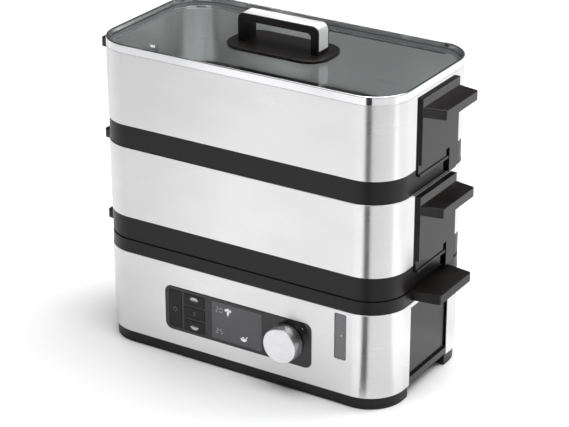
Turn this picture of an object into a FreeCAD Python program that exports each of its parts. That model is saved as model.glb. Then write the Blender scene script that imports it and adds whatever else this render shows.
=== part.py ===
"""Two-tier electric egg and food steamer.

A stack of loose pieces on a heated base. From the bottom up: the base with its water
tank and controls, a drip tray, two steel tiers with lift-out grids, and a glass lid.

Millimetres, +Z up, +X along the long side, controls on the -Y side. Shapes are drawn
about the vertical axis of the stack. They are moved at export, so that the origin is
on the standing surface, in the middle of the overall width and depth.
"""
import FreeCAD, Part
import math
import os
from FreeCAD import Vector

# ---------------------------------------------------------------- driving dimensions

# The stack seen from above: a rectangle with round corners.
body_length = 295.8
body_depth = 152.6
corner_radius = 34.0

# Heights of the stack, from the standing surface up.
foot_height = 2.0
skirt_height = 9.4
base_height = 78.7
tray_rim_height = 12.0
tray_step_height = 1.5
band_height = 20.9
tier_steel_height = 66.0
lid_rim_height = 7.4

# Walls.
steel_wall = 0.8
skirt_wall = 3.0
floor_wall = 3.0
tank_wall = 2.5
tray_wall = 2.8
tray_deck_thickness = 2.0
band_wall = 4.0

# Gaps between pieces.
fit_gap = 0.1
moving_gap = 0.3
rest_gap = 0.4
overlap = 1.0
tolerance = 0.001

# How far each skin lies inside the outer outline.
skirt_inset = 1.5
tray_inset = 0.4
band_inset = 0.5
step_inset = 1.6

# Spigot under each tier, which drops into the piece below.
spigot_width = 2.0
spigot_depth = 5.0

# Tier grid, its ledge and its egg seats.
ledge_height = 8.0
ledge_width = 4.0
ledge_thickness = 2.5
grid_thickness = 1.8
grid_gap = 0.5
grid_hole_radius = 3.0
grid_hole_pitch = 13.0
grid_margin = 8.0
seat_columns = 4
seat_rows = 2
seat_pitch = 64.0
seat_radius = 17.0
seat_rim_width = 1.6
seat_rim_height = 3.0

# Tier end handles.
handle_width = 64.0
handle_proud = 5.5
handle_below_rim = 2.6
handle_leg_bottom = 3.5
lip_reach = 24.6
lip_below_rim = 10.0
lip_thickness = 8.5
lip_taper = 4.0
lip_corner_radius = 2.0
moulded_rounding = 0.8
ledge_bar_height = 2.2
ledge_bar_proud = 4.5
groove_height = 8.2
groove_proud = 2.5
pocket_height = 15.5
pocket_end = 17.0
leg_corner_radius = 5.0
upstand_width = 2.0
upstand_height = 8.0

# Drip tray.
tray_lip_below_rim = 1.1
tray_skirt_depth = 8.0
tray_skirt_wall = 2.0
chimney_length = 92.0
chimney_depth = 34.0
chimney_wall = 2.0
chimney_height = 14.0
flat_length = 0.01

# Lid.
lid_rim_width = 2.2
lid_rim_rounding = 1.0
lid_seat_thickness = 1.0
lid_seat_width = 4.0
lid_spigot_depth = 6.4
glass_below_rim = 4.8
glass_thickness = 3.6
seal_thickness = 0.8

# Lid handle.
plate_length = 100.0
plate_depth = 51.0
plate_corner_radius = 20.0
plate_thickness = 3.0
plate_rounding = 1.0
grip_length = 80.4
grip_depth = 18.0
grip_height = 25.0
grip_leg = 7.3
grip_bar = 6.5
grip_outer_radius = 6.0
grip_inner_radius = 4.0
trim_width = 14.6
trim_thickness = 0.8

# Screws. Each has a radius, a head radius and a head height.
screw_radius = 1.75
screw_head_radius = 3.6
screw_head_height = 2.2
board_screw_radius = 1.2
board_screw_head_radius = 2.2
board_screw_head_height = 1.4
washer_radius = 6.0
washer_thickness = 1.0
screw_hole_gap = 0.6

# Base end panels.
end_panel_width = 67.2
end_panel_recess = 2.2
end_panel_thickness = 2.5
end_panel_top_bridge = 4.0
end_panel_flange = 3.0
end_rail_bottom = 2.0
end_rail_height = 5.6
end_rail_slope = 2.4
end_recess_depth = 30.0

# Feet.
foot_length = 42.0
foot_stem_from_end = 25.5
foot_stem_radius = 3.0
foot_stem_height = 2.4

# Control panel on the front of the base.
panel_length = 151.6
panel_height = 42.8
panel_corner_radius = 7.0
panel_above_base = 14.7
panel_proud = 0.6
panel_thickness = 4.0
panel_flange = 3.0
panel_flange_thickness = 2.0

# Keys, as distances from the left edge and the middle height of the panel.
power_key_left = 4.4
power_key_width = 13.6
tall_key_height = 36.4
tier_key_left = 20.4
tier_key_width = 22.0
key_gap = 1.3
key_clearance = 0.3
key_corner_radius = 1.2
key_proud = 0.3
key_travel = 0.6
key_flange = 0.4
key_flange_thickness = 1.0
switch_size = 6.0
switch_button_radius = 1.7
switch_button_height = 1.4

# Display.
lens_left = 49.6
lens_width = 52.0
lens_height = 36.4
lens_thickness = 1.6
lens_corner_radius = 1.5

# Control board.
board_setback = 10.9
board_thickness = 1.6
board_length = 142.0
board_height = 38.0
board_corner_radius = 1.0
board_boss_radius = 2.4

# Turning and pressing knob.
knob_from_right = 24.4
knob_radius = 16.0
knob_draft = 0.5
knob_proud = 13.7
knob_face_thickness = 1.2
knob_rim_wall = 1.4
knob_rounding = 0.8
knob_rear_gap = 1.4
knob_travel = 0.6
hub_boss_radius = 5.0
shaft_radius = 3.0
shaft_running_gap = 0.05
shaft_hole_radius = 4.5
bushing_radius = 3.8
encoder_size = 12.0
encoder_depth = 6.3
shaft_end_depth = 7.2
plunger_radius = 2.4
plunger_length = 1.2

# Water tank.
tank_side_gap = 9.9
tank_front_gap = 30.3
tank_rear_gap = 5.3
tank_corner_radius = 30.0
tank_floor_height = 22.6
tank_flange_thickness = 2.5
tank_flange_inset = 1.0
tank_post_radius = 4.5
tank_post_from_end = 48.0

# Water level window, at the right of the front.
window_from_right = 43.9
window_width = 11.4
window_height = 43.0
window_above_base = 32.6
window_corner_radius = 1.5
window_recess = 0.6
window_lens_thickness = 1.4
window_gasket_thickness = 0.8
window_rim = 2.0
well_width = 26.0
well_drop = 4.0

# Heater under the tank.
heater_radius = 31.0
heater_rise = 3.5
heater_flange_radius = 46.0
heater_flange_thickness = 2.0
heater_seal_radius = 37.0
heater_seal_thickness = 1.0
heater_screw_circle = 41.5
heater_screws_count = 3
heater_dome_radius = 3.6
heater_dome_height = 4.0
heater_pin_radius = 1.6
heater_pin_length = 7.0
heater_pin_spacing = 37.0
heater_pin_setback = 18.5
thermostat_radius = 8.0
thermostat_height = 7.0
thermostat_blade_width = 4.0
thermostat_blade_thickness = 1.0
fuse_radius = 2.2
fuse_length = 14.0
fuse_offset = 22.0

# Power board and what is on it.
power_board_length = 66.0
power_board_depth = 62.0
power_board_gap = 2.0
standoff_radius = 3.0
standoff_height = 3.6
relay_size = (19.0, 15.0, 10.0)
capacitor_size = (17.5, 8.0, 10.5)
transformer_size = (16.0, 14.0, 10.5)
terminal_size = (20.0, 12.0, 9.0)
terminal_well_radius = 1.8
terminal_well_depth = 4.0
relay_place = (-18.0, 16.0)
capacitor_place = (12.0, 20.0)
transformer_place = (14.0, -14.0)

# Cord gland at the back.
gland_x = -70.0
gland_above_base = 12.0
gland_bore_radius = 3.4
gland_body_radius = 5.6
gland_flange_radius = 8.0
gland_flange_thickness = 3.0
gland_rounding = 1.0
gland_nut_thickness = 4.0
gland_inner_length = 7.0

# ---------------------------------------------------------------- derived levels

base_bottom = foot_height + skirt_height
base_top = base_bottom + base_height
tray_rim_top = base_top + tray_rim_height
tier_pitch = band_height + tier_steel_height
lower_tier_bottom = tray_rim_top + tray_step_height
upper_tier_bottom = lower_tier_bottom + tier_pitch
lid_bottom = upper_tier_bottom + tier_pitch
lid_top = lid_bottom + lid_rim_height
glass_top = lid_top - glass_below_rim
glass_bottom = glass_top - glass_thickness
plate_top = glass_top + plate_thickness

half_length = body_length / 2
front_face = -body_depth / 2
back_face = body_depth / 2
board_front = front_face + board_setback
spigot_inset = tray_inset + tray_wall + rest_gap
tank_floor = base_bottom + tank_floor_height
tank_centre_y = (tank_front_gap - tank_rear_gap) / 2
panel_middle = base_bottom + panel_above_base + panel_height / 2
knob_x = panel_length / 2 - knob_from_right
window_x = half_length - window_from_right

front_reach = knob_proud
back_reach = gland_flange_thickness
origin_shift = Vector(0, (front_reach - back_reach) / 2, 0)

Z_AXIS = Vector(0, 0, 1)
Y_AXIS = Vector(0, 1, 0)
X_AXIS = Vector(1, 0, 0)

# ---------------------------------------------------------------- shared shapes


def box(x0, x1, y0, y1, z0, z1):
    """A block between two corners."""
    return Part.makeBox(x1 - x0, y1 - y0, z1 - z0, Vector(x0, y0, z0))


def rod(radius, start, axis, length):
    """A cylinder that starts at a point and runs along an axis."""
    return Part.makeCylinder(radius, length, start, axis)


def rounded_outline(length, depth, radius):
    """A closed rectangle with round corners, about the origin in the XY plane."""
    a, b = length / 2, depth / 2
    if radius <= 0:
        corners = [Vector(-a, -b, 0), Vector(a, -b, 0), Vector(a, b, 0), Vector(-a, b, 0)]
        return Part.makePolygon(corners + corners[:1])
    edges = []
    diagonal = radius * (1 - math.sqrt(0.5))
    turns = [(1, -1), (1, 1), (-1, 1), (-1, -1)]
    starts, middles, ends = [], [], []
    for sx, sy in turns:
        beside_x = Vector(sx * (a - radius), sy * b, 0)
        beside_y = Vector(sx * a, sy * (b - radius), 0)
        first, last = (beside_x, beside_y) if sx * sy < 0 else (beside_y, beside_x)
        starts.append(first)
        middles.append(Vector(sx * (a - diagonal), sy * (b - diagonal), 0))
        ends.append(last)
    for i in range(4):
        edges.append(Part.Arc(starts[i], middles[i], ends[i]).toShape())
        following = starts[(i + 1) % 4]
        if (following - ends[i]).Length > 1e-6:
            edges.append(Part.makeLine(ends[i], following))
    return Part.Wire(edges)


def prism(length, depth, radius, z0, z1, centre_x=0.0, centre_y=0.0):
    """An upright prism with a rounded rectangular outline."""
    solid = Part.Face(rounded_outline(length, depth, radius)).extrude(Vector(0, 0, z1 - z0))
    solid.translate(Vector(centre_x, centre_y, z0))
    return solid


def front_prism(width, height, radius, y0, y1, centre_x, centre_z):
    """A prism whose rounded rectangular outline faces the front, from y0 back to y1."""
    solid = prism(width, height, radius, 0, y1 - y0)
    solid.rotate(Vector(0, 0, 0), X_AXIS, -90)
    solid.translate(Vector(centre_x, y0, centre_z))
    return solid


def stack_prism(inset, z0, z1):
    """The stack's outline, drawn in by an inset, between two heights."""
    radius = corner_radius - inset
    return prism(body_length - 2 * inset, body_depth - 2 * inset, radius, z0, z1)


def stack_ring(outer_inset, inner_inset, z0, z1):
    """A ring that follows the stack's outline, between two insets and two heights."""
    hollow = stack_prism(inner_inset, z0 - overlap, z1 + overlap)
    return stack_prism(outer_inset, z0, z1).cut(hollow)


def profile_along_y(points, y0, y1):
    """A prism along Y from an outline given as (x, z) points."""
    corners = [Vector(x, y0, z) for x, z in points]
    return Part.Face(Part.makePolygon(corners + corners[:1])).extrude(Vector(0, y1 - y0, 0))


def turned(shape):
    """The same piece at the other end of the stack."""
    other = shape.copy()
    other.rotate(Vector(0, 0, 0), Z_AXIS, 180)
    return other


def joined(shapes):
    """One solid from pieces that overlap."""
    result = shapes[0].fuse(shapes[1:]) if len(shapes) > 1 else shapes[0]
    return result.removeSplitter()


def without(shape, tools):
    """A shape with a list of tools cut away."""
    return shape.cut(Part.makeCompound(tools))


def screw(head, axis, length, radius, head_radius, head_height):
    """A screw: its head's outer face is at head, and it runs along axis."""
    cap = rod(head_radius, head, axis, head_height)
    return joined([cap, rod(radius, head, axis, head_height + length)])


def edges_where(shape, test):
    """The edges of a shape whose two ends, or whose middle if closed, pass a test."""
    return [edge for edge in shape.Edges if all(test(v.Point) for v in edge.Vertexes)]


# ---------------------------------------------------------------- base


def end_cutout_height():
    return base_top - end_panel_top_bridge


def base_shell():
    """Steel skin round the base, with openings for the panels, window and cord."""
    skin = stack_ring(0, steel_wall, base_bottom, base_top)
    deep = steel_wall + overlap
    half = end_panel_width / 2
    end = box(half_length - deep, half_length + overlap, -half, half,
              base_bottom - overlap, end_cutout_height())
    y0, y1 = front_face - overlap, front_face + deep
    panel = front_prism(panel_length + 2 * fit_gap, panel_height + 2 * fit_gap,
                        panel_corner_radius + fit_gap, y0, y1, 0, panel_middle)
    window = front_prism(window_width + 2 * fit_gap, window_height + 2 * fit_gap,
                         window_corner_radius + fit_gap, y0, y1, window_x, window_middle())
    gland = rod(gland_body_radius + fit_gap, gland_centre(back_face - deep), Y_AXIS, 2 * deep)
    return without(skin, [end, turned(end), panel, window, gland])


def base_chassis():
    """Black moulding that closes the bottom, with the skirt and the corner lands."""
    floor = stack_prism(steel_wall + fit_gap, base_bottom, base_bottom + floor_wall)
    skirt = stack_ring(skirt_inset, skirt_inset + skirt_wall, foot_height, base_bottom)
    half = end_panel_width / 2
    inner_x = half_length - end_recess_depth
    undercut = box(inner_x, half_length + overlap, -half, half,
                   foot_height - overlap, base_bottom)
    skirt = without(skirt, [undercut, turned(undercut)])
    parts = [floor, skirt]
    quarter = stack_prism(skirt_inset, foot_height, base_bottom)
    for sx in (-1, 1):
        for sy in (-1, 1):
            land = foot_block(sx, sy, foot_height, foot_height + skirt_wall)
            parts.append(quarter.common(land))
            returns = corner_box(sx, sy, inner_x, half_length, half, half + skirt_wall,
                                 foot_height, base_bottom)
            parts.append(quarter.common(returns))
    body = joined(parts)
    posts = [rod(standoff_radius, at, Z_AXIS, standoff_height + overlap)
             for at in standoff_places(base_bottom + floor_wall - overlap)]
    body = joined([body] + posts)
    holes = []
    for at in tank_post_places(base_bottom - overlap):
        holes.append(rod(screw_radius + screw_hole_gap, at, Z_AXIS, floor_wall + 2 * overlap))
    for sx in (-1, 1):
        for sy in (-1, 1):
            at = foot_stem_place(sx, sy, foot_height - overlap)
            holes.append(rod(foot_stem_radius + fit_gap, at, Z_AXIS, skirt_wall + 2 * overlap))
    return without(body, holes)


def corner_box(sx, sy, x0, x1, y0, y1, z0, z1):
    """A block in one of the four corners, from distances out along X and Y."""
    xs = sorted((sx * x0, sx * x1))
    ys = sorted((sy * y0, sy * y1))
    return box(xs[0], xs[1], ys[0], ys[1], z0, z1)


def foot_block(sx, sy, z0, z1):
    return corner_box(sx, sy, half_length - foot_length, half_length + overlap,
                      end_panel_width / 2, back_face + overlap, z0, z1)


def foot_stem_place(sx, sy, z):
    """The middle of a corner's land, where the foot's stem goes in."""
    x = half_length - foot_stem_from_end
    y = (end_panel_width / 2 + skirt_wall + back_face - skirt_inset - skirt_wall) / 2
    return Vector(sx * x, sy * y, z)


def rubber_feet():
    """Four rubber pads under the corner lands, each held by a stem."""
    outline = stack_prism(skirt_inset + fit_gap, 0, foot_height)
    feet = []
    for sx in (-1, 1):
        for sy in (-1, 1):
            pad = outline.common(foot_block(sx, sy, 0, foot_height))
            stem = rod(foot_stem_radius, foot_stem_place(sx, sy, foot_height - overlap),
                       Z_AXIS, foot_stem_height + overlap)
            feet.append(joined([pad, stem]))
    return Part.makeCompound(feet)


def base_end_panel():
    """Recessed plastic panel at the right end, with a sloping rail along its foot."""
    face = half_length - end_panel_recess
    rear = face - end_panel_thickness
    inner_skin = half_length - steel_wall - fit_gap
    bottom = base_bottom + floor_wall + fit_gap
    rail_bottom = base_bottom + end_rail_bottom
    rail_top = rail_bottom + end_rail_height
    half = end_panel_width / 2 - fit_gap
    rail = profile_along_y([(rear, bottom), (inner_skin, bottom), (inner_skin, rail_bottom),
                            (half_length, rail_bottom), (half_length, rail_top),
                            (face, rail_top + end_rail_slope),
                            (rear, rail_top + end_rail_slope)], -half, half)
    wide = half + end_panel_flange
    plate = box(rear, face, -wide, wide, bottom, base_top - tank_flange_thickness - fit_gap)
    return joined([plate, rail])


# ---------------------------------------------------------------- water tank and heater


def tank_outline(inset, z0, z1):
    """The tank's outline, drawn in by an inset."""
    return prism(body_length - 2 * tank_side_gap - 2 * inset,
                 body_depth - tank_front_gap - tank_rear_gap - 2 * inset,
                 tank_corner_radius - inset, z0, z1, 0, tank_centre_y)


def window_middle():
    return base_bottom + window_above_base + window_height / 2


def window_seat():
    """The Y of the tank's front wall behind the water window."""
    return front_face + window_recess + window_lens_thickness + window_gasket_thickness


def flange_bottom():
    return base_top - tank_flange_thickness


def well_hollow(y0, y1, top):
    """The space that joins the tank to the window, between two depths."""
    half = well_width / 2 - tank_wall
    floor = base_bottom + window_above_base - well_drop + tank_wall
    return box(window_x - half, window_x + half, y0, y1, floor, top)


def window_well():
    """Well in front of the tank, under its flange, that brings water to the window."""
    front = window_seat()
    rear = front_face + tank_front_gap
    half = well_width / 2
    outside = box(window_x - half, window_x + half, front, rear,
                  base_bottom + window_above_base - well_drop, flange_bottom())
    sight = front_prism(window_width - 2 * window_rim, window_height - 2 * window_rim,
                        window_corner_radius, front - overlap, front + tank_wall + overlap,
                        window_x, window_middle())
    return without(outside, [well_hollow(front + tank_wall, rear + overlap,
                                         flange_bottom() + overlap), sight])


def water_tank():
    """Moulded basin under a flange, with an opening into the window's well."""
    main_front = front_face + tank_front_gap
    outside = [tank_outline(0, tank_floor, base_top),
               stack_prism(tank_flange_inset, flange_bottom(), base_top)]
    for at in tank_post_places(base_bottom + floor_wall):
        outside.append(rod(tank_post_radius, at, Z_AXIS, tank_floor - at.z + overlap))
    for at in heater_screw_places(tank_floor):
        outside.append(rod(heater_dome_radius, at, Z_AXIS, tank_wall + heater_dome_height))
    hollow = tank_outline(tank_wall, tank_floor + tank_wall, base_top + overlap)
    inlet = well_hollow(main_front - overlap, main_front + tank_wall + overlap,
                        flange_bottom())
    domes = [rod(heater_dome_radius, at, Z_AXIS, tank_wall + heater_dome_height)
             for at in heater_screw_places(tank_floor)]
    basin = joined(outside).cut(hollow.cut(Part.makeCompound(domes)))
    holes = [inlet, rod(heater_radius + rest_gap, heater_centre(tank_floor - overlap), Z_AXIS,
                        tank_wall + 2 * overlap)]
    for at in tank_post_places(base_bottom + floor_wall - overlap):
        holes.append(rod(screw_radius + fit_gap, at, Z_AXIS, tank_floor - at.z - overlap))
    for at in heater_screw_places(tank_floor - overlap):
        holes.append(rod(board_screw_radius + fit_gap, at, Z_AXIS,
                         tank_wall + heater_dome_height))
    return without(basin, holes)


def tank_post_places(z):
    """The four posts that stand on the chassis and take its screws."""
    x = half_length - tank_post_from_end
    y = (body_depth - tank_front_gap - tank_rear_gap) / 2 - tank_corner_radius / 2
    return [Vector(sx * x, tank_centre_y + sy * y, z) for sx in (-1, 1) for sy in (-1, 1)]


def base_screws():
    """The four screws that hold the chassis to the tank's posts."""
    length = floor_wall + standoff_height + screw_head_radius * 2
    return Part.makeCompound([screw(at, Z_AXIS, length, screw_radius, screw_head_radius,
                                    screw_head_height)
                              for at in tank_post_places(base_bottom - screw_head_height)])


def heater_centre(z):
    return Vector(0, tank_centre_y, z)


def heater_screw_places(z):
    places = []
    for i in range(heater_screws_count):
        angle = math.radians(90 + i * 360 / heater_screws_count)
        places.append(heater_centre(z) + Vector(heater_screw_circle * math.cos(angle),
                                                heater_screw_circle * math.sin(angle), 0))
    return places


def heater_flange_top():
    return tank_floor - heater_seal_thickness


def heater_plate():
    """Die-cast heating disc that closes the hole in the tank's floor."""
    bottom = heater_flange_top() - heater_flange_thickness
    flange = rod(heater_flange_radius, heater_centre(bottom), Z_AXIS, heater_flange_thickness)
    rise = tank_floor + tank_wall + heater_rise - bottom
    disc = rod(heater_radius, heater_centre(bottom), Z_AXIS, rise)
    pins = []
    for side in (-1, 1):
        at = heater_centre(bottom - heater_pin_length) + Vector(side * heater_pin_spacing / 2,
                                                                -heater_pin_setback, 0)
        pins.append(rod(heater_pin_radius, at, Z_AXIS, heater_pin_length + overlap))
    holes = [rod(board_screw_radius + fit_gap, at, Z_AXIS, 3 * overlap + heater_flange_thickness)
             for at in heater_screw_places(bottom - overlap)]
    return without(joined([flange, disc] + pins), holes)


def heater_seal():
    """Silicone ring between the heater's flange and the tank's floor."""
    ring = rod(heater_seal_radius, heater_centre(heater_flange_top()), Z_AXIS,
               heater_seal_thickness)
    return ring.cut(rod(heater_radius + rest_gap, heater_centre(heater_flange_top() - overlap),
                        Z_AXIS, heater_seal_thickness + 2 * overlap))


def heater_screws():
    head = heater_flange_top() - heater_flange_thickness - board_screw_head_height
    length = heater_flange_thickness + heater_seal_thickness + tank_wall + 2 * overlap
    return Part.makeCompound([screw(at, Z_AXIS, length, board_screw_radius,
                                    board_screw_head_radius, board_screw_head_height)
                              for at in heater_screw_places(head)])


def thermostat():
    """Round switch under the middle of the heater, with two blades."""
    top = heater_flange_top() - heater_flange_thickness
    can = rod(thermostat_radius, heater_centre(top - thermostat_height), Z_AXIS,
              thermostat_height)
    blades = []
    for side in (-1, 1):
        x = side * (thermostat_radius + overlap)
        z = top - thermostat_height / 2
        blades.append(box(min(x, 0), max(x, 0), tank_centre_y - thermostat_blade_width / 2,
                          tank_centre_y + thermostat_blade_width / 2,
                          z, z + thermostat_blade_thickness))
    return joined([can] + blades)


def thermal_fuse():
    """One-shot fuse clipped beside the thermostat."""
    z = heater_flange_top() - heater_flange_thickness - fuse_radius
    start = Vector(fuse_offset, tank_centre_y - fuse_length / 2, z)
    return rod(fuse_radius, start, Y_AXIS, fuse_length)


# ---------------------------------------------------------------- water window


def window_lens():
    """Clear strip in the steel that shows the water level."""
    y0 = front_face + window_recess
    return front_prism(window_width, window_height, window_corner_radius, y0,
                       y0 + window_lens_thickness, window_x, window_middle())


def window_gasket():
    """Grey gasket between the window and the tank's front wall."""
    y0 = front_face + window_recess + window_lens_thickness
    y1 = y0 + window_gasket_thickness
    sheet = front_prism(window_width, window_height, window_corner_radius, y0, y1,
                        window_x, window_middle())
    sight = front_prism(window_width - 2 * window_rim, window_height - 2 * window_rim,
                        window_corner_radius, y0 - overlap, y1 + overlap,
                        window_x, window_middle())
    return sheet.cut(sight)


# ---------------------------------------------------------------- control panel


def panel_x(from_left):
    return -panel_length / 2 + from_left


def key_slots():
    """Each key's name, middle and size, from the panel's left edge and middle height."""
    small = (tall_key_height - 2 * key_gap) / 3
    step = small + key_gap
    tier_x = panel_x(tier_key_left + tier_key_width / 2)
    slots = {"power_key": (panel_x(power_key_left + power_key_width / 2), panel_middle,
                           power_key_width, tall_key_height)}
    for name, row in (("upper_tier_key", 1), ("menu_key", 0), ("lower_tier_key", -1)):
        slots[name] = (tier_x, panel_middle + row * step, tier_key_width, small)
    return slots


def lens_middle():
    return panel_x(lens_left + lens_width / 2)


def control_panel():
    """Black fascia set into the steel, with openings for the keys, display and knob."""
    front = front_face - panel_proud
    back = front + panel_thickness
    plate = front_prism(panel_length, panel_height, panel_corner_radius, front, back,
                        0, panel_middle)
    flange_front = front_face + steel_wall + fit_gap
    flange = front_prism(panel_length + 2 * panel_flange, panel_height + 2 * panel_flange,
                         panel_corner_radius + panel_flange, flange_front,
                         flange_front + panel_flange_thickness, 0, panel_middle)
    tools = []
    for x, z, width, height in key_slots().values():
        tools.append(front_prism(width, height, key_corner_radius, front - overlap,
                                 back + overlap, x, z))
    tools.append(front_prism(lens_width + 2 * fit_gap, lens_height + 2 * fit_gap,
                             lens_corner_radius, front - overlap, back + overlap,
                             lens_middle(), panel_middle))
    tools.append(rod(shaft_hole_radius, Vector(knob_x, front - overlap, panel_middle), Y_AXIS,
                     panel_thickness + 2 * overlap))
    bosses = [rod(board_boss_radius, at, Y_AXIS, board_front - at.y)
              for at in board_screw_places(back - overlap)]
    tools += [rod(board_screw_radius + fit_gap, at, Y_AXIS, board_front - at.y + overlap)
              for at in board_screw_places(back)]
    return without(joined([plate, flange] + bosses), tools)


def board_screw_places(y):
    """The four board screws: two left of the display and two right of the knob."""
    left = lens_middle() - lens_width / 2 - board_boss_radius - overlap
    right = knob_x + knob_radius + overlap
    z = board_height / 2 - board_boss_radius - overlap / 2
    return [Vector(x, y, panel_middle + side * z) for x in (left, right) for side in (-1, 1)]


def key(x, z, width, height):
    """A key cap with a thin flange behind the fascia that stops it falling out."""
    front = front_face - panel_proud - key_proud
    back = front_face - panel_proud + panel_thickness + fit_gap * 2
    cap = front_prism(width - 2 * key_clearance, height - 2 * key_clearance,
                      key_corner_radius - key_clearance / 2, front, back + fit_gap, x, z)
    flange = front_prism(width + 2 * key_flange, height + 2 * key_flange, key_corner_radius,
                         back, back + key_flange_thickness, x, z)
    return joined([cap, flange])


def key_switches():
    """Four push switches on the board, one behind the middle of each key."""
    key_back = (front_face - panel_proud + panel_thickness + fit_gap * 2
                + key_flange_thickness)
    button_front = key_back + key_travel + fit_gap * 2
    body_front = button_front + switch_button_height
    half = switch_size / 2
    switches = []
    for x, z, width, height in key_slots().values():
        body = box(x - half, x + half, body_front, board_front, z - half, z + half)
        button = rod(switch_button_radius, Vector(x, button_front, z), Y_AXIS,
                     switch_button_height + overlap)
        switches.append(joined([body, button]))
    return Part.makeCompound(switches)


def display_lens():
    front = front_face - panel_proud
    return front_prism(lens_width, lens_height, lens_corner_radius - fit_gap, front,
                       front + lens_thickness, lens_middle(), panel_middle)


def display_module():
    """The liquid crystal cell and its light box, between the lens and the board."""
    front = front_face - panel_proud + lens_thickness + fit_gap
    return front_prism(lens_width - 2 * overlap, lens_height - 2 * overlap, 0, front, board_front,
                       lens_middle(), panel_middle)


def control_board():
    board = front_prism(board_length, board_height, board_corner_radius, board_front,
                        board_front + board_thickness, 0, panel_middle)
    holes = [rod(board_screw_radius + fit_gap, at, Y_AXIS, board_thickness + 2 * overlap)
             for at in board_screw_places(board_front - overlap)]
    return without(board, holes)


def board_screws():
    head = board_front + board_thickness + board_screw_head_height
    return Part.makeCompound([screw(at, -Y_AXIS, board_thickness + 4 * overlap,
                                    board_screw_radius, board_screw_head_radius,
                                    board_screw_head_height)
                              for at in board_screw_places(head)])


# ---------------------------------------------------------------- knob


def shaft_end():
    """The Y of the inner end of the knob's shaft."""
    return front_face + shaft_end_depth


def rotary_encoder():
    """Turning and pressing switch on the board, with a bushing for the shaft."""
    half = encoder_size / 2
    front = board_front - encoder_depth
    body = box(knob_x - half, knob_x + half, front, board_front,
               panel_middle - half, panel_middle + half)
    bushing_front = front_face - panel_proud + overlap
    bushing = rod(bushing_radius, Vector(knob_x, bushing_front, panel_middle), Y_AXIS,
                  front - bushing_front + overlap)
    bore_end = (shaft_end() + moving_gap + plunger_length + knob_travel + moving_gap)
    bore = rod(shaft_radius + shaft_running_gap,
               Vector(knob_x, bushing_front - overlap, panel_middle), Y_AXIS,
               bore_end - bushing_front + overlap)
    return joined([body, bushing]).cut(bore)


def encoder_plunger():
    """The encoder's inner contact, pressed in when the knob is pushed."""
    start = Vector(knob_x, shaft_end() + moving_gap, panel_middle)
    return rod(plunger_radius, start, Y_AXIS, plunger_length)


def knob_front():
    return front_face - knob_proud


def encoder_shaft():
    start = Vector(knob_x, knob_front() + knob_face_thickness + 2 * overlap, panel_middle)
    return rod(shaft_radius, start, Y_AXIS, shaft_end() - start.y)


def knob_length():
    return knob_proud - panel_proud - knob_rear_gap


def knob_cap():
    """Spun metal cup of the knob, open at the back."""
    front = Vector(knob_x, knob_front(), panel_middle)
    rear_radius = knob_radius + knob_draft
    outside = Part.makeCone(knob_radius, rear_radius, knob_length(), front, Y_AXIS)
    rim = [e for e in outside.Edges if abs(e.BoundBox.YMax - front.y) < tolerance]
    outside = outside.makeFillet(knob_rounding, rim)
    inside = Part.makeCone(knob_radius - knob_rim_wall, rear_radius - knob_rim_wall,
                           knob_length(), front + Vector(0, knob_face_thickness, 0), Y_AXIS)
    return outside.cut(inside)


def knob_hub():
    """Plastic core that joins the metal cup to the shaft."""
    y = knob_front() + knob_face_thickness
    length = knob_length() - knob_face_thickness
    disc = rod(knob_radius - knob_rim_wall - fit_gap, Vector(knob_x, y, panel_middle), Y_AXIS,
               3 * overlap)
    boss = rod(hub_boss_radius, Vector(knob_x, y, panel_middle), Y_AXIS, length)
    bore = rod(shaft_radius + shaft_running_gap,
               Vector(knob_x, y + 2 * overlap, panel_middle), Y_AXIS, length)
    return joined([disc, boss]).cut(bore)


# ---------------------------------------------------------------- power electronics


def power_board_middle():
    """The board lies between the tank's left posts and the heater, before the terminals."""
    x = (tank_post_from_end + tank_post_radius + power_board_gap - half_length
         + power_board_length / 2)
    rear = terminals_y() - terminal_size[1] / 2 - power_board_gap
    return Vector(x, rear - power_board_depth / 2, 0)


def standoff_places(z):
    x = power_board_length / 2 - standoff_radius
    y = power_board_depth / 2 - standoff_radius
    return [power_board_middle() + Vector(sx * x, sy * y, z)
            for sx in (-1, 1) for sy in (-1, 1)]


def power_board_bottom():
    return base_bottom + floor_wall + standoff_height


def power_board():
    z = power_board_bottom()
    middle = power_board_middle()
    return prism(power_board_length, power_board_depth, board_corner_radius,
                 z, z + board_thickness, middle.x, middle.y)


def board_block(size, place):
    """A component on the power board, from its size and its place on the board."""
    z = power_board_bottom() + board_thickness
    x, y = power_board_middle().x + place[0], power_board_middle().y + place[1]
    return box(x - size[0] / 2, x + size[0] / 2, y - size[1] / 2, y + size[1] / 2,
               z, z + size[2])


def terminals_y():
    return back_face - terminal_size[1] - gland_inner_length - gland_nut_thickness


def cord_terminals():
    """Screw terminals on the chassis floor, inside the cord gland."""
    z = base_bottom + floor_wall
    x, y = gland_x, terminals_y()
    block = box(x - terminal_size[0] / 2, x + terminal_size[0] / 2,
                y - terminal_size[1] / 2, y + terminal_size[1] / 2, z, z + terminal_size[2])
    wells = [rod(terminal_well_radius, Vector(x + side * terminal_size[0] / 4, y,
                                              z + terminal_size[2] - terminal_well_depth),
                 Z_AXIS, terminal_well_depth + overlap) for side in (-1, 1)]
    return without(block, wells)


def gland_centre(y):
    return Vector(gland_x, y, base_bottom + gland_above_base)


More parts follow.
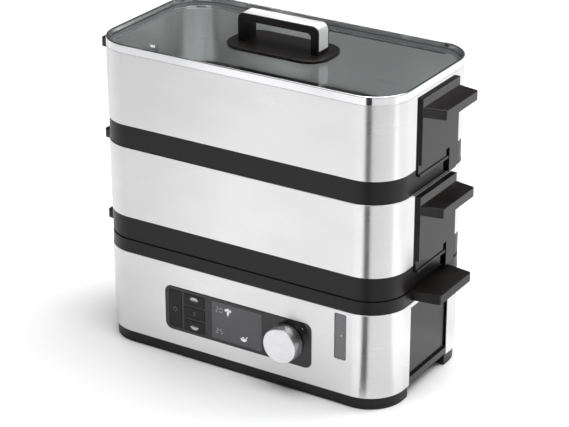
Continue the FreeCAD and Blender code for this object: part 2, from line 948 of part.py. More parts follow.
def cord_gland():
    """Bushing in the back of the base that the cord comes in through."""
    inner = back_face - steel_wall - gland_inner_length
    flange = rod(gland_flange_radius, gland_centre(back_face), Y_AXIS, gland_flange_thickness)
    flange = flange.makeFillet(gland_rounding, [
        e for e in flange.Edges if e.BoundBox.YMin > back_face + gland_flange_thickness / 2
        and e.BoundBox.ZLength > gland_flange_radius])
    body = rod(gland_body_radius, gland_centre(inner), Y_AXIS, back_face - inner + overlap)
    bore = rod(gland_bore_radius, gland_centre(inner - overlap), Y_AXIS,
               back_face + gland_flange_thickness - inner + 2 * overlap)
    return joined([flange, body]).cut(bore)


def gland_nut():
    """Ring that clamps the gland to the steel from inside."""
    y = back_face - steel_wall - fit_gap - gland_nut_thickness
    nut = rod(gland_flange_radius, gland_centre(y), Y_AXIS, gland_nut_thickness)
    return nut.cut(rod(gland_body_radius + fit_gap, gland_centre(y - overlap), Y_AXIS,
                       gland_nut_thickness + 2 * overlap))


# ---------------------------------------------------------------- drip tray


def end_lip(root_x, top):
    """A flat grip lip at the right end, narrower at its outer edge."""
    root = handle_width / 2
    tip = root - lip_taper
    outer = half_length + lip_reach
    corners = [Vector(root_x, -root, top - lip_thickness), Vector(outer, -tip, top - lip_thickness),
               Vector(outer, tip, top - lip_thickness), Vector(root_x, root, top - lip_thickness)]
    lip = Part.Face(Part.makePolygon(corners + corners[:1])).extrude(Vector(0, 0, lip_thickness))
    edges = edges_where(lip, lambda p: abs(p.x - outer) < tolerance)
    upright = [e for e in edges if e.BoundBox.ZLength > lip_thickness / 2]
    lip = lip.makeFillet(lip_corner_radius, upright)
    top_edges = [e for e in lip.Edges if e.BoundBox.ZMin > top - tolerance
                 and e.BoundBox.XMax > root_x + tolerance]
    return lip.makeFillet(moulded_rounding, top_edges)


def drip_tray():
    """Tray between the base and the lower tier, with a steam chimney and two lips."""
    inside = tray_inset + tray_wall
    rim = stack_ring(tray_inset, inside, base_top, tray_rim_top)
    step = stack_ring(step_inset, inside, tray_rim_top - overlap, lower_tier_bottom)
    deck_bottom = base_top + tray_deck_thickness
    deck_top = deck_bottom + tray_deck_thickness
    deck = stack_prism(inside - overlap, deck_bottom, deck_top)
    skirt_gap = tank_wall + overlap
    skirt = tank_outline(skirt_gap, deck_top - tray_deck_thickness - tray_skirt_depth,
                         deck_bottom + overlap)
    hollow = tank_outline(skirt_gap + tray_skirt_wall, base_bottom, deck_bottom)
    end_radius = chimney_depth / 2 - flat_length
    chimney = prism(chimney_length, chimney_depth, end_radius, deck_bottom,
                    deck_top + chimney_height, 0, tank_centre_y)
    flue = prism(chimney_length - 2 * chimney_wall, chimney_depth - 2 * chimney_wall,
                 end_radius - chimney_wall, deck_bottom - overlap,
                 deck_top + chimney_height + overlap, 0, tank_centre_y)
    lip = end_lip(half_length - tray_inset - tray_wall / 2, tray_rim_top - tray_lip_below_rim)
    tray = joined([rim, step, deck, skirt.cut(hollow), chimney, lip, turned(lip)])
    return tray.cut(flue)


# ---------------------------------------------------------------- tiers


def tier_shell(bottom):
    """Steel wall of a tier, with holes for the handle screws."""
    steel_bottom = bottom + band_height
    skin = stack_ring(0, steel_wall, steel_bottom, bottom + tier_pitch)
    holes = [rod(screw_radius + screw_hole_gap, at, X_AXIS, 3 * steel_wall + overlap)
             for at in handle_screw_places(bottom, half_length - 2 * steel_wall)]
    return without(skin, holes + [turned(hole) for hole in holes])


def tier_band(bottom):
    """Black plastic foot of a tier: it carries the steel, and has the grid's ledge."""
    top = bottom + band_height
    wall = stack_ring(band_inset, band_inset + band_wall, bottom, top)
    upstand_inset = steel_wall + fit_gap
    upstand = stack_ring(upstand_inset, upstand_inset + upstand_width, top - overlap,
                         top + upstand_height)
    spigot = stack_ring(spigot_inset, spigot_inset + spigot_width, bottom - spigot_depth,
                        bottom + ledge_thickness)
    ledge_inner = band_inset + band_wall + ledge_width
    ledge = stack_ring(band_inset + band_wall - overlap, ledge_inner, bottom + ledge_height,
                       bottom + ledge_height + ledge_thickness)
    return joined([wall, upstand, spigot, ledge])


def handle_screw_places(bottom, x):
    """The two screws of the right handle, from inside the tier."""
    z = bottom + band_height + tier_steel_height / 2
    return [Vector(x, side * handle_width / 4, z) for side in (-1, 1)]


def tier_handle(bottom):
    """Right handle of a tier: an upright panel, a lip, and a pocket over the band."""
    half = handle_width / 2
    face = half_length + handle_proud
    rim = bottom + tier_pitch
    pocket_top = bottom + pocket_height
    groove_bottom = pocket_top + ledge_bar_height
    groove_top = groove_bottom + groove_height
    plate = box(half_length, face, -half, half, bottom + handle_leg_bottom,
                rim - handle_below_rim)
    lower_corner = [e for e in plate.Edges
                    if e.BoundBox.ZMax < bottom + handle_leg_bottom + tolerance
                    and e.BoundBox.YMin > half - tolerance]
    plate = plate.makeFillet(leg_corner_radius, lower_corner)
    groove = box(half_length + groove_proud, face + overlap, -half - overlap, pocket_end,
                 groove_bottom, groove_top)
    bar_cut = box(half_length + ledge_bar_proud, face + overlap, -half - overlap, pocket_end,
                  pocket_top - overlap, groove_bottom + overlap)
    pocket = box(half_length - overlap, face + overlap, -half - overlap, pocket_end,
                 bottom, pocket_top)
    panel = without(plate, [groove, bar_cut, pocket])
    lip = end_lip(face - overlap, rim - lip_below_rim)
    holes = [rod(screw_radius + fit_gap, at, X_AXIS, handle_proud - overlap)
             for at in handle_screw_places(bottom, half_length)]
    return without(joined([panel, lip]), holes)


def handle_screws(bottom):
    """The four handle screws of a tier, with their heads inside the steel."""
    head_x = half_length - steel_wall - screw_head_height
    length = steel_wall + handle_proud - 2 * overlap
    right = [screw(at, X_AXIS, length, screw_radius, screw_head_radius, screw_head_height)
             for at in handle_screw_places(bottom, head_x)]
    return Part.makeCompound(right + [turned(one) for one in right])


def seat_places():
    """The middles of the egg seats, in rows along the grid."""
    return [Vector((i - (seat_columns - 1) / 2) * seat_pitch,
                   (j - (seat_rows - 1) / 2) * seat_pitch, 0)
            for i in range(seat_columns) for j in range(seat_rows)]


def grid_hole_places(length, depth):
    """Staggered steam holes, clear of the grid's edge and of the egg seats' rims."""
    places = []
    row_step = grid_hole_pitch * math.sqrt(0.75)
    rows = int((depth / 2 - grid_margin) / row_step)
    columns = int((length / 2 - grid_margin) / grid_hole_pitch)
    keep = seat_radius + seat_rim_width + grid_hole_radius + overlap
    inside = seat_radius - grid_hole_radius - overlap
    reach = corner_radius - grid_margin
    for j in range(-rows, rows + 1):
        offset = grid_hole_pitch / 2 if j % 2 else 0.0
        for i in range(-columns, columns + 1):
            x, y = i * grid_hole_pitch + offset, j * row_step
            if abs(x) > length / 2 - grid_margin:
                continue
            past_x = abs(x) - (length / 2 - grid_margin - reach)
            past_y = abs(y) - (depth / 2 - grid_margin - reach)
            if past_x > 0 and past_y > 0 and math.hypot(past_x, past_y) > reach:
                continue
            distances = [math.hypot(x - s.x, y - s.y) for s in seat_places()]
            if all(d > keep or d < inside for d in distances):
                places.append((x, y))
    return places


def tier_grid(bottom):
    """Lift-out floor of a tier: a perforated plate with a raised rim for each egg."""
    inset = band_inset + band_wall + grid_gap
    length, depth = body_length - 2 * inset, body_depth - 2 * inset
    z = bottom + ledge_height + ledge_thickness
    outline = rounded_outline(length, depth, corner_radius - inset)
    holes = [Part.Wire(Part.makeCircle(grid_hole_radius, Vector(x, y, 0)))
             for x, y in grid_hole_places(length, depth)]
    face = Part.makeFace([outline] + holes, "Part::FaceMakerBullseye")
    plate = face.extrude(Vector(0, 0, grid_thickness))
    rims = []
    for at in seat_places():
        rim = rod(seat_radius + seat_rim_width, at, Z_AXIS, grid_thickness + seat_rim_height)
        rims.append(rim.cut(rod(seat_radius, at, Z_AXIS, grid_thickness + seat_rim_height)))
    grid = joined([plate] + rims)
    grid.translate(Vector(0, 0, z))
    return grid


# ---------------------------------------------------------------- lid


def lid_seat_top():
    return glass_bottom - seal_thickness


def lid_frame():
    """Polished steel rim of the lid: a raised edge, a seat for the glass and a spigot."""
    rim = stack_ring(0, lid_rim_width, lid_bottom, lid_top)
    top_edges = [e for e in rim.Edges if e.BoundBox.ZMin > lid_top - tolerance]
    rim = rim.makeFillet(lid_rim_rounding, top_edges)
    spigot_out = steel_wall + rest_gap
    spigot = stack_ring(spigot_out, lid_rim_width, lid_bottom - lid_spigot_depth,
                        lid_bottom + overlap)
    seat = stack_ring(spigot_out, lid_rim_width + lid_seat_width,
                      lid_seat_top() - lid_seat_thickness, lid_seat_top())
    return joined([rim, spigot, seat])


def lid_seal():
    """Silicone strip under the edge of the glass."""
    return stack_ring(lid_rim_width + fit_gap, lid_rim_width + lid_seat_width,
                      lid_seat_top(), glass_bottom)


def lid_glass():
    """Flat glass with two holes for the handle screws."""
    pane = stack_prism(lid_rim_width + fit_gap, glass_bottom, glass_top)
    holes = [rod(screw_radius + screw_hole_gap, at, Z_AXIS, glass_thickness + 2 * overlap)
             for at in grip_screw_places(glass_bottom - overlap)]
    return without(pane, holes)


def grip_screw_places(z):
    x = (grip_length - grip_leg) / 2
    return [Vector(side * x, 0, z) for side in (-1, 1)]


def lid_handle_plate():
    """Flat black plate between the glass and the grip."""
    plate = prism(plate_length, plate_depth, plate_corner_radius, glass_top, plate_top)
    top_edges = [e for e in plate.Edges if e.BoundBox.ZMin > plate_top - tolerance]
    plate = plate.makeFillet(plate_rounding, top_edges)
    holes = [rod(screw_radius + screw_hole_gap, at, Z_AXIS, plate_thickness + 2 * overlap)
             for at in grip_screw_places(glass_top - overlap)]
    return without(plate, holes)


def arch(length, height, radius, depth, bottom):
    """A block on the plate whose two top corners are rounded, as seen from the front."""
    tall = 2 * height
    solid = front_prism(length, tall, radius, -depth / 2, depth / 2, 0, bottom)
    return solid.common(box(-length, length, -depth, depth, bottom, bottom + tall))


def lid_handle_grip():
    """Black bridge of the lid's handle, with a shallow channel for the steel strip."""
    outer = arch(grip_length, grip_height, grip_outer_radius, grip_depth, plate_top)
    long_edges = [e for e in outer.Edges
                  if e.BoundBox.YLength < tolerance and e.BoundBox.ZMax > plate_top + overlap]
    outer = outer.makeFillet(moulded_rounding, long_edges)
    gap = arch(grip_length - 2 * grip_leg, grip_height - grip_bar, grip_inner_radius,
               grip_depth + 2 * overlap, plate_top)
    channel = arch(grip_length + 2 * overlap, grip_height + overlap, grip_outer_radius,
                   trim_width + 2 * fit_gap, plate_top + overlap)
    core = arch(grip_length - 2 * trim_thickness, grip_height - trim_thickness,
                grip_outer_radius - trim_thickness, grip_depth, plate_top)
    keep_foot = box(-grip_length, grip_length, -grip_depth, grip_depth, plate_top,
                    plate_top + trim_foot())
    channel = channel.cut(core).cut(keep_foot)
    holes = [rod(screw_radius + fit_gap, at, Z_AXIS, screw_grip_length())
             for at in grip_screw_places(plate_top)]
    return without(outer, [gap, channel] + holes)


def trim_foot():
    """How far the steel strip stays above the plate at both ends."""
    return trim_thickness * 4


def screw_grip_length():
    return grip_height / 2


def lid_handle_trim():
    """Bent steel strip over the top and both ends of the grip."""
    outside = arch(grip_length, grip_height, grip_outer_radius, trim_width, plate_top)
    inside = arch(grip_length - 2 * trim_thickness + 2 * fit_gap,
                  grip_height - trim_thickness + fit_gap,
                  grip_outer_radius - trim_thickness, grip_depth, plate_top)
    keep_foot = box(-grip_length, grip_length, -grip_depth, grip_depth, plate_top - overlap,
                    plate_top + trim_foot() + fit_gap)
    return without(outside, [inside, keep_foot])


def lid_handle_screws():
    head = glass_bottom - washer_thickness - screw_head_height
    length = (washer_thickness + glass_thickness + plate_thickness + screw_grip_length()
              - overlap)
    return Part.makeCompound([screw(at, Z_AXIS, length, screw_radius, screw_head_radius,
                                    screw_head_height) for at in grip_screw_places(head)])


def lid_handle_washers():
    rings = []
    for at in grip_screw_places(glass_bottom - washer_thickness):
        disc = rod(washer_radius, at, Z_AXIS, washer_thickness)
        rings.append(disc.cut(rod(screw_radius + fit_gap, at, Z_AXIS, washer_thickness)))
    return Part.makeCompound(rings)


# ---------------------------------------------------------------- export


def base_nodes():
    end_panel = base_end_panel()
    nodes = {
        "base_shell": base_shell(),
        "base_chassis": base_chassis(),
        "rubber_feet": rubber_feet(),
        "base_end_panel_right": end_panel,
        "base_end_panel_left": turned(end_panel),
        "base_screws": base_screws(),
        "water_tank": water_tank(),
        "window_well": window_well(),
        "heater_plate": heater_plate(),
        "heater_seal": heater_seal(),
        "heater_screws": heater_screws(),
        "thermostat": thermostat(),
        "thermal_fuse": thermal_fuse(),
        "water_window_lens": window_lens(),
        "water_window_gasket": window_gasket(),
        "control_panel": control_panel(),
        "display_lens": display_lens(),
        "display_module": display_module(),
        "control_board": control_board(),
        "board_screws": board_screws(),
        "key_switches": key_switches(),
        "rotary_encoder": rotary_encoder(),
        "encoder_plunger": encoder_plunger(),
        "encoder_shaft": encoder_shaft(),
        "knob_cap": knob_cap(),
        "knob_hub": knob_hub(),
        "power_board": power_board(),
        "power_relay": board_block(relay_size, relay_place),
        "power_capacitor": board_block(capacitor_size, capacitor_place),
        "power_transformer": board_block(transformer_size, transformer_place),
        "cord_terminals": cord_terminals(),
        "cord_gland": cord_gland(),
        "gland_nut": gland_nut(),
    }
    for name, slot in key_slots().items():
        nodes[name] = key(*slot)
    return nodes


def tier_nodes(name, bottom):
    handle = tier_handle(bottom)
    return {
        name + "_tier_shell": tier_shell(bottom),
        name + "_tier_band": tier_band(bottom),
        name + "_tier_handle_right": handle,
        name + "_tier_handle_left": turned(handle),
        name + "_tier_screws": handle_screws(bottom),
        name + "_grid": tier_grid(bottom),
    }


def lid_nodes():
    return {
        "lid_frame": lid_frame(),
        "lid_seal": lid_seal(),
        "lid_glass": lid_glass(),
        "lid_handle_plate": lid_handle_plate(),
        "lid_handle_grip": lid_handle_grip(),
        "lid_handle_trim": lid_handle_trim(),
        "lid_handle_screws": lid_handle_screws(),
        "lid_handle_washers": lid_handle_washers(),
    }


def export(nodes):
    os.makedirs("parts", exist_ok=True)
    for name, shape in nodes.items():
        placed = shape.copy()
        placed.translate(origin_shift)
        placed.exportStep("parts/" + name + ".step")


all_nodes = base_nodes()
all_nodes["drip_tray"] = drip_tray()
all_nodes.update(tier_nodes("lower", lower_tier_bottom))
all_nodes.update(tier_nodes("upper", upper_tier_bottom))
all_nodes.update(lid_nodes())
export(all_nodes)
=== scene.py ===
"""Looks of a two-tier electric steamer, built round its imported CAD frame.

Lengths are millimetres in the part's own frame: +Z up, controls on the -Y side. A mesh
is turned to metres when it is made. Heights and places come from the CAD nodes' boxes.
The studio's floor, lamps and camera are in metres, and angles are in degrees.
"""
import bmesh
import bpy
import math
from mathutils import Matrix, Vector


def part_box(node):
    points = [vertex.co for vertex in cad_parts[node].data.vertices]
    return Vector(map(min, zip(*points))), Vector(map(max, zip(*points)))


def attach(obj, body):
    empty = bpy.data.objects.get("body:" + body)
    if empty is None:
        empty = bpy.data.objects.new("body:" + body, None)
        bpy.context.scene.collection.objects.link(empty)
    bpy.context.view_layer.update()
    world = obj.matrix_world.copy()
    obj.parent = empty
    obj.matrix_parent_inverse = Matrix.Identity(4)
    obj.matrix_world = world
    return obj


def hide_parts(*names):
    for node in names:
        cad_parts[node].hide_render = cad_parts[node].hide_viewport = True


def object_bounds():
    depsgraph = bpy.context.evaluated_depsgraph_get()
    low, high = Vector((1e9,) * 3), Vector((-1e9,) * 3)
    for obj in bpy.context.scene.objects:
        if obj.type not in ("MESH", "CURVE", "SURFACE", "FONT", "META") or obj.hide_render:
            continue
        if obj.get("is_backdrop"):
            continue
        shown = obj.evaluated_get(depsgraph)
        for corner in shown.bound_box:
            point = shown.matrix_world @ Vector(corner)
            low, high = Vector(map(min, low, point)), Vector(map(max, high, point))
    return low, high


METRES = 0.001

# ---------------------------------------------------------------- sizes shared with the CAD

CORNER_RADIUS = 34.0
STEEL_WALL = 0.8
BAND_INSET = 0.5
BAND_WALL = 4.0
BAND_HEIGHT = 20.9
UPSTAND_WIDTH = 2.0
SPIGOT_INSET = 3.6
SPIGOT_WIDTH = 2.0
SPIGOT_DEPTH = 5.0
LEDGE_WIDTH = 4.0
LEDGE_HEIGHT = 8.0
LEDGE_THICKNESS = 2.5
LID_RIM_WIDTH = 2.2
LID_RIM_ROUNDING = 1.0
LID_SPIGOT_DEPTH = 6.4
LID_SPIGOT_INSET = 1.2
LID_SEAT_WIDTH = 4.0
LID_SEAT_THICKNESS = 1.0
END_OPENING = 67.2
END_BRIDGE = 4.0
PANEL_LENGTH = 151.6
PANEL_HEIGHT = 42.8
PANEL_RADIUS = 7.0
PANEL_THICKNESS = 4.0
KEY_FLANGE = 0.4
KEY_CLEARANCE = 0.3
KEY_RADIUS = 1.2
LENS_RADIUS = 1.5
PLATE_RADIUS = 20.0
SHAFT_HOLE_RADIUS = 4.5
GLAND_HOLE_RADIUS = 5.7
FIT_GAP = 0.1

# ---------------------------------------------------------------- sizes of the looks

CORNER_STEPS = 24           # steps round a corner of the stack
PLATE_CORNER_STEPS = 8      # and round a corner of a small plate
LARGE_CORNER_STEPS = 16     # or of a large one
TURN_STEPS = 96
SHEET_EDGE = 0.25
STEEL_LIP = 0.5             # rounding of a steel wall's outer top edge
MOULDED_EDGE = 0.4
BEVEL_ANGLE = 35.0          # edges sharper than this are rounded
SHARP_ANGLE = 40.0          # edges sharper than this stay sharp in the shading
MERGE_DISTANCE = 1e-6       # in metres
FLAT_ANGLE = 0.5            # CAD faces that meet flatter than this become one
SEAT_GAP = 0.02             # keeps the ledge just clear of the grid that rests on it
CUTTER_REACH = 12.0
CUTTER_EDGE = 0.01
BACK_CUT = 4.0
END_CUT = 2.0
KNOB_SKIRT = 0.7            # how far the wall reaches behind its CAD cup, towards the panel
KNOB_TAPER = 0.5            # the face's radius is smaller than the rear's by this much
KNOB_HUB = 2.0              # radius of the flat in the middle of the dished face
KNOB_WALL = 1.4
KNOB_FACE = 1.2             # thickness
KNOB_RIM = 0.8              # rounding between face and side
KNOB_RIM_STEPS = 5
SYMBOL_DEPTH = 0.05
SYMBOL_STROKE = 0.5
POT_HALF = (4.2, 2.9)       # half the length, and the height, of either half of a pot
POT_GAP = 0.4               # how far either half is from the middle
LINE_HALF = 3.6             # half the length of the line that stands for a dim half
LINE_GAP = 0.6
DIGIT_WIDTH = 2.4
DIGIT_HEIGHT = 4.4
DIGIT_STROKE = 0.7
DIGIT_GAP = 0.42            # how far a stroke's ends stay clear of the digit's corners

# Places across and up from the middle of the display.
TIMER_COLUMNS = (-20.0, -16.0)
UPPER_TIMER_HEIGHT = 10.8
LOWER_TIMER_HEIGHT = -9.8
VEGETABLE_PLACE = (-8.8, 10.4)
DISH_PLACE = (7.4, -10.4)

# Places across from the middle of the stack, and up from the middle of the display.
FASCIA_LEFT_MARK = (38.5, 16.4)
FASCIA_RIGHT_MARK = (67.3, 15.6)

WINDOW_MARK_SHIFT = 0.8     # across from the middle of the window
WINDOW_LINE_HALF = 1.6      # half the length of a level mark

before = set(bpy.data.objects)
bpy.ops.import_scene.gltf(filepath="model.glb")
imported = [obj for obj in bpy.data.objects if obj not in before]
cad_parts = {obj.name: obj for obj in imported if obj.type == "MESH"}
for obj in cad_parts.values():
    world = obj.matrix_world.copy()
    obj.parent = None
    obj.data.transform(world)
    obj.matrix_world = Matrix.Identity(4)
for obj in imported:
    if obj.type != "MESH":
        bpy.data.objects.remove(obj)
cad_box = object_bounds()


# ---------------------------------------------------------------- places in the frame


def node_box(node):
    """A CAD node's lowest and highest corners, in millimetres."""
    low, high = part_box(node)
    return low / METRES, high / METRES


def middle(node):
    """The middle of a CAD node's box."""
    low, high = node_box(node)
    return (low + high) / 2


SHELL_LOW, SHELL_HIGH = node_box("upper_tier_shell")
HALF_LENGTH = SHELL_HIGH.x
HALF_DEPTH = (SHELL_HIGH.y - SHELL_LOW.y) / 2
CENTRE_Y = (SHELL_HIGH.y + SHELL_LOW.y) / 2
FRONT_Y = SHELL_LOW.y

# ---------------------------------------------------------------- mesh making


def linked(name, data):
    """A new object of the scene that holds some data."""
    thing = bpy.data.objects.new(name, data)
    bpy.context.scene.collection.objects.link(thing)
    return thing


def new_piece(name, points, faces):
    """A closed mesh from points in millimetres, with its faces turned outwards."""
    mesh = bpy.data.meshes.new(name)
    mesh.from_pydata([Vector(p) * METRES for p in points], [], faces)
    work = bmesh.new()
    work.from_mesh(mesh)
    bmesh.ops.recalc_face_normals(work, faces=work.faces)
    work.to_mesh(mesh)
    work.free()
    return linked(name, mesh)


def loft(name, loops, closed=False):
    """A skin over loops with equal numbers of points, capped unless it closes on itself."""
    count = len(loops[0])
    points = [p for loop in loops for p in loop]
    faces = []
    for i in range(len(loops) if closed else len(loops) - 1):
        here, there = i * count, (i + 1) % len(loops) * count
        for j in range(count):
            k = (j + 1) % count
            faces.append((here + j, here + k, there + k, there + j))
    if not closed:
        last = (len(loops) - 1) * count
        faces.append(tuple(reversed(range(count))))
        faces.append(tuple(range(last, last + count)))
    return new_piece(name, points, faces)


def rounded_rectangle(half_x, half_y, radius, steps=CORNER_STEPS):
    """Points round a rectangle with round corners, anticlockwise."""
    points = []
    for turn, (sx, sy) in enumerate(((1, -1), (1, 1), (-1, 1), (-1, -1))):
        for i in range(steps + 1):
            angle = math.radians(90 * (turn - 1 + i / steps))
            points.append((sx * (half_x - radius) + radius * math.cos(angle),
                           sy * (half_y - radius) + radius * math.sin(angle)))
    return points


def stack_loop(inset, z):
    """The stack's outline, drawn in by an inset, at one height."""
    outline = rounded_rectangle(HALF_LENGTH - inset, HALF_DEPTH - inset, CORNER_RADIUS - inset)
    return [(x, y + CENTRE_Y, z) for x, y in outline]


def eased(profile, steps=3):
    """A closed profile of (across, up, radius) corners, with each corner rounded."""
    points = []
    for i, (u, v, radius) in enumerate(profile):
        here = Vector((u, v))
        before = Vector(profile[i - 1][:2]) - here
        after = Vector(profile[(i + 1) % len(profile)][:2]) - here
        reach = min(radius, before.length * 0.45, after.length * 0.45)
        start, end = here + before.normalized() * reach, here + after.normalized() * reach
        for step in range(steps + 1):
            t = step / steps
            points.append(start * (1 - t) ** 2 + here * 2 * t * (1 - t) + end * t ** 2)
    return points


def stack_ring(name, profile):
    """A ring that follows the stack's outline, from a profile of (inset, z, radius)."""
    return loft(name, [stack_loop(p.x, p.y) for p in eased(profile)], closed=True)


def edge_steps(edge, steps=4):
    """How far in and how far along each step of a rounded edge lies."""
    for i in range(steps + 1):
        angle = math.radians(90 * i / steps)
        yield edge * (1 - math.sin(angle)), edge * (1 - math.cos(angle))


def plate(name, outline, start, end, place, start_edge, end_edge):
    """A plate with rounded edges: outline(inset) gives its shape, place puts it."""
    loops = []
    for inset, along in edge_steps(start_edge):
        loops.append([place(u, v, start + along) for u, v in outline(inset)])
    for inset, along in reversed(list(edge_steps(end_edge))):
        loops.append([place(u, v, end - along) for u, v in outline(inset)])
    return loft(name, loops)


def facing_front(x, z):
    """Places a shape drawn in the front plane, with its depth running back along Y."""
    return lambda u, v, w: (x + u, w, z + v)


def lying(x, y):
    """Places a shape drawn from above, with its depth running up along Z."""
    return lambda u, v, w: (x + u, y + v, w)


def rectangle(width, height, radius, steps=PLATE_CORNER_STEPS):
    """An outline function for plate()."""
    return lambda inset: rounded_rectangle(width / 2 - inset, height / 2 - inset,
                                           max(radius - inset, 0.05), steps)


def turned_loops(profile):
    """Circles round the Y axis for loft(), from (radius, along) points."""
    loops = []
    for radius, along in profile:
        circle = [(radius * math.cos(2 * math.pi * i / TURN_STEPS),
                   radius * math.sin(2 * math.pi * i / TURN_STEPS)) for i in range(TURN_STEPS)]
        loops.append([(u, along, v) for u, v in circle])
    return loops


def baked(piece):
    """Applies a piece's modifiers to its mesh."""
    graph = bpy.context.evaluated_depsgraph_get()
    mesh = bpy.data.meshes.new_from_object(piece.evaluated_get(graph))
    piece.modifiers.clear()
    piece.data = mesh
    return piece


def cut(piece, cutters):
    """Takes cutters away from a piece."""
    for cutter in cutters:
        step = piece.modifiers.new("cut", "BOOLEAN")
        step.operation = "DIFFERENCE"
        step.solver = "EXACT"
        step.object = cutter
    baked(piece)
    for cutter in cutters:
        bpy.data.objects.remove(cutter)
    return piece


def soften(piece, width):
    """Rounds the sharp edges of a piece."""
    step = piece.modifiers.new("edges", "BEVEL")
    step.width = width * METRES
    step.segments = 2
    step.limit_method = "ANGLE"
    step.angle_limit = math.radians(BEVEL_ANGLE)
    step.use_clamp_overlap = True
    return baked(piece)


def smooth(piece):
    """Smooth shading that keeps flat faces flat and sharp edges sharp."""
    piece.data.shade_smooth()
    piece.data.set_sharp_from_angle(angle=math.radians(SHARP_ANGLE))
    step = piece.modifiers.new("normals", "WEIGHTED_NORMAL")
    step.keep_sharp = True
    return baked(piece)


def refined(name, node, width, turn=False):
    """A copy of a CAD node's surface with its flat faces merged and its edges rounded.

    turn takes it half way round the stack, for the same piece at the other end.
    """
    work = bmesh.new()
    work.from_mesh(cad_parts[node].data)
    bmesh.ops.remove_doubles(work, verts=work.verts, dist=MERGE_DISTANCE)
    bmesh.ops.dissolve_limit(work, angle_limit=math.radians(FLAT_ANGLE), verts=work.verts,
                             edges=work.edges, delimit=set())
    mesh = bpy.data.meshes.new(name)
    work.to_mesh(mesh)
    work.free()
    piece = soften(linked(name, mesh), width)
    if turn:
        middle_y = Vector((0, CENTRE_Y, 0)) * METRES
        half_turn = Matrix.Rotation(math.pi, 4, "Z")
        piece.data.transform(Matrix.Translation(middle_y) @ half_turn
                             @ Matrix.Translation(-middle_y))
    return piece


# ---------------------------------------------------------------- symbols


def shifted(outline, du, dv):
    """An outline moved across and up."""
    return [(u + du, v + dv) for u, v in outline]


def bar(u0, v0, u1, v1, width):
    """The outline of a straight stroke with square ends."""
    along = Vector((u1 - u0, v1 - v0)).normalized() * width / 2
    across = Vector((-along.y, along.x))
    return [(u0 - across.x, v0 - across.y), (u1 - across.x, v1 - across.y),
            (u1 + across.x, v1 + across.y), (u0 + across.x, v0 + across.y)]


def arc_band(radius, start, end, width, steps=20):
    """The outline of a stroke bent to an arc, in degrees."""
    angles = [math.radians(start + (end - start) * i / steps) for i in range(steps + 1)]
    return [(r * math.cos(a), r * math.sin(a))
            for r, way in ((radius + width / 2, angles), (radius - width / 2, reversed(angles)))
            for a in way]


def disc(radius_u, radius_v, steps=24):
    """The outline of a whole ellipse."""
    return [(radius_u * math.cos(2 * math.pi * i / steps),
             radius_v * math.sin(2 * math.pi * i / steps)) for i in range(steps)]


def half_disc(radius_u, radius_v, steps=16):
    """Half an ellipse on its flat side. A negative radius_v hangs it under that side."""
    return [(radius_u * math.cos(math.pi * i / steps), radius_v * math.sin(math.pi * i / steps))
            for i in range(steps + 1)]


def digit_outlines(digit):
    """The strokes of a seven-segment digit, about its own middle."""
    w, h, gap = DIGIT_WIDTH / 2, DIGIT_HEIGHT / 2, DIGIT_GAP
    places = {"a": (-w + gap, h, w - gap, h), "g": (-w + gap, 0, w - gap, 0),
              "d": (-w + gap, -h, w - gap, -h), "f": (-w, gap, -w, h - gap),
              "b": (w, gap, w, h - gap), "e": (-w, -h + gap, -w, -gap),
              "c": (w, -h + gap, w, -gap)}
    lit = {0: "abcdef", 2: "abged", 5: "afgcd"}[digit]
    return [bar(*places[segment], DIGIT_STROKE) for segment in lit]


def flat_symbol(name, outlines, x, y, z, body, slot, material):
    """Thin raised shapes on a front face at depth y, as one piece that rides on a body."""
    points, faces = [], []
    for outline in outlines:
        start, count = len(points), len(outline)
        for depth in (y - SYMBOL_DEPTH, y + SYMBOL_DEPTH):
            points += [(x + u, depth, z + v) for u, v in outline]
        faces.append(tuple(range(start, start + count)))
        faces.append(tuple(reversed(range(start + count, start + 2 * count))))
        for i in range(count):
            j = (i + 1) % count
            faces.append((start + i, start + count + i, start + count + j, start + j))
    piece = new_piece(name, points, faces)
    return stands_for(piece, body, slot, material=material)


# ---------------------------------------------------------------- finishes

MIX_FIRST, MIX_SECOND, MIX_RESULT = 6, 7, 2     # a colour Mix node's sockets


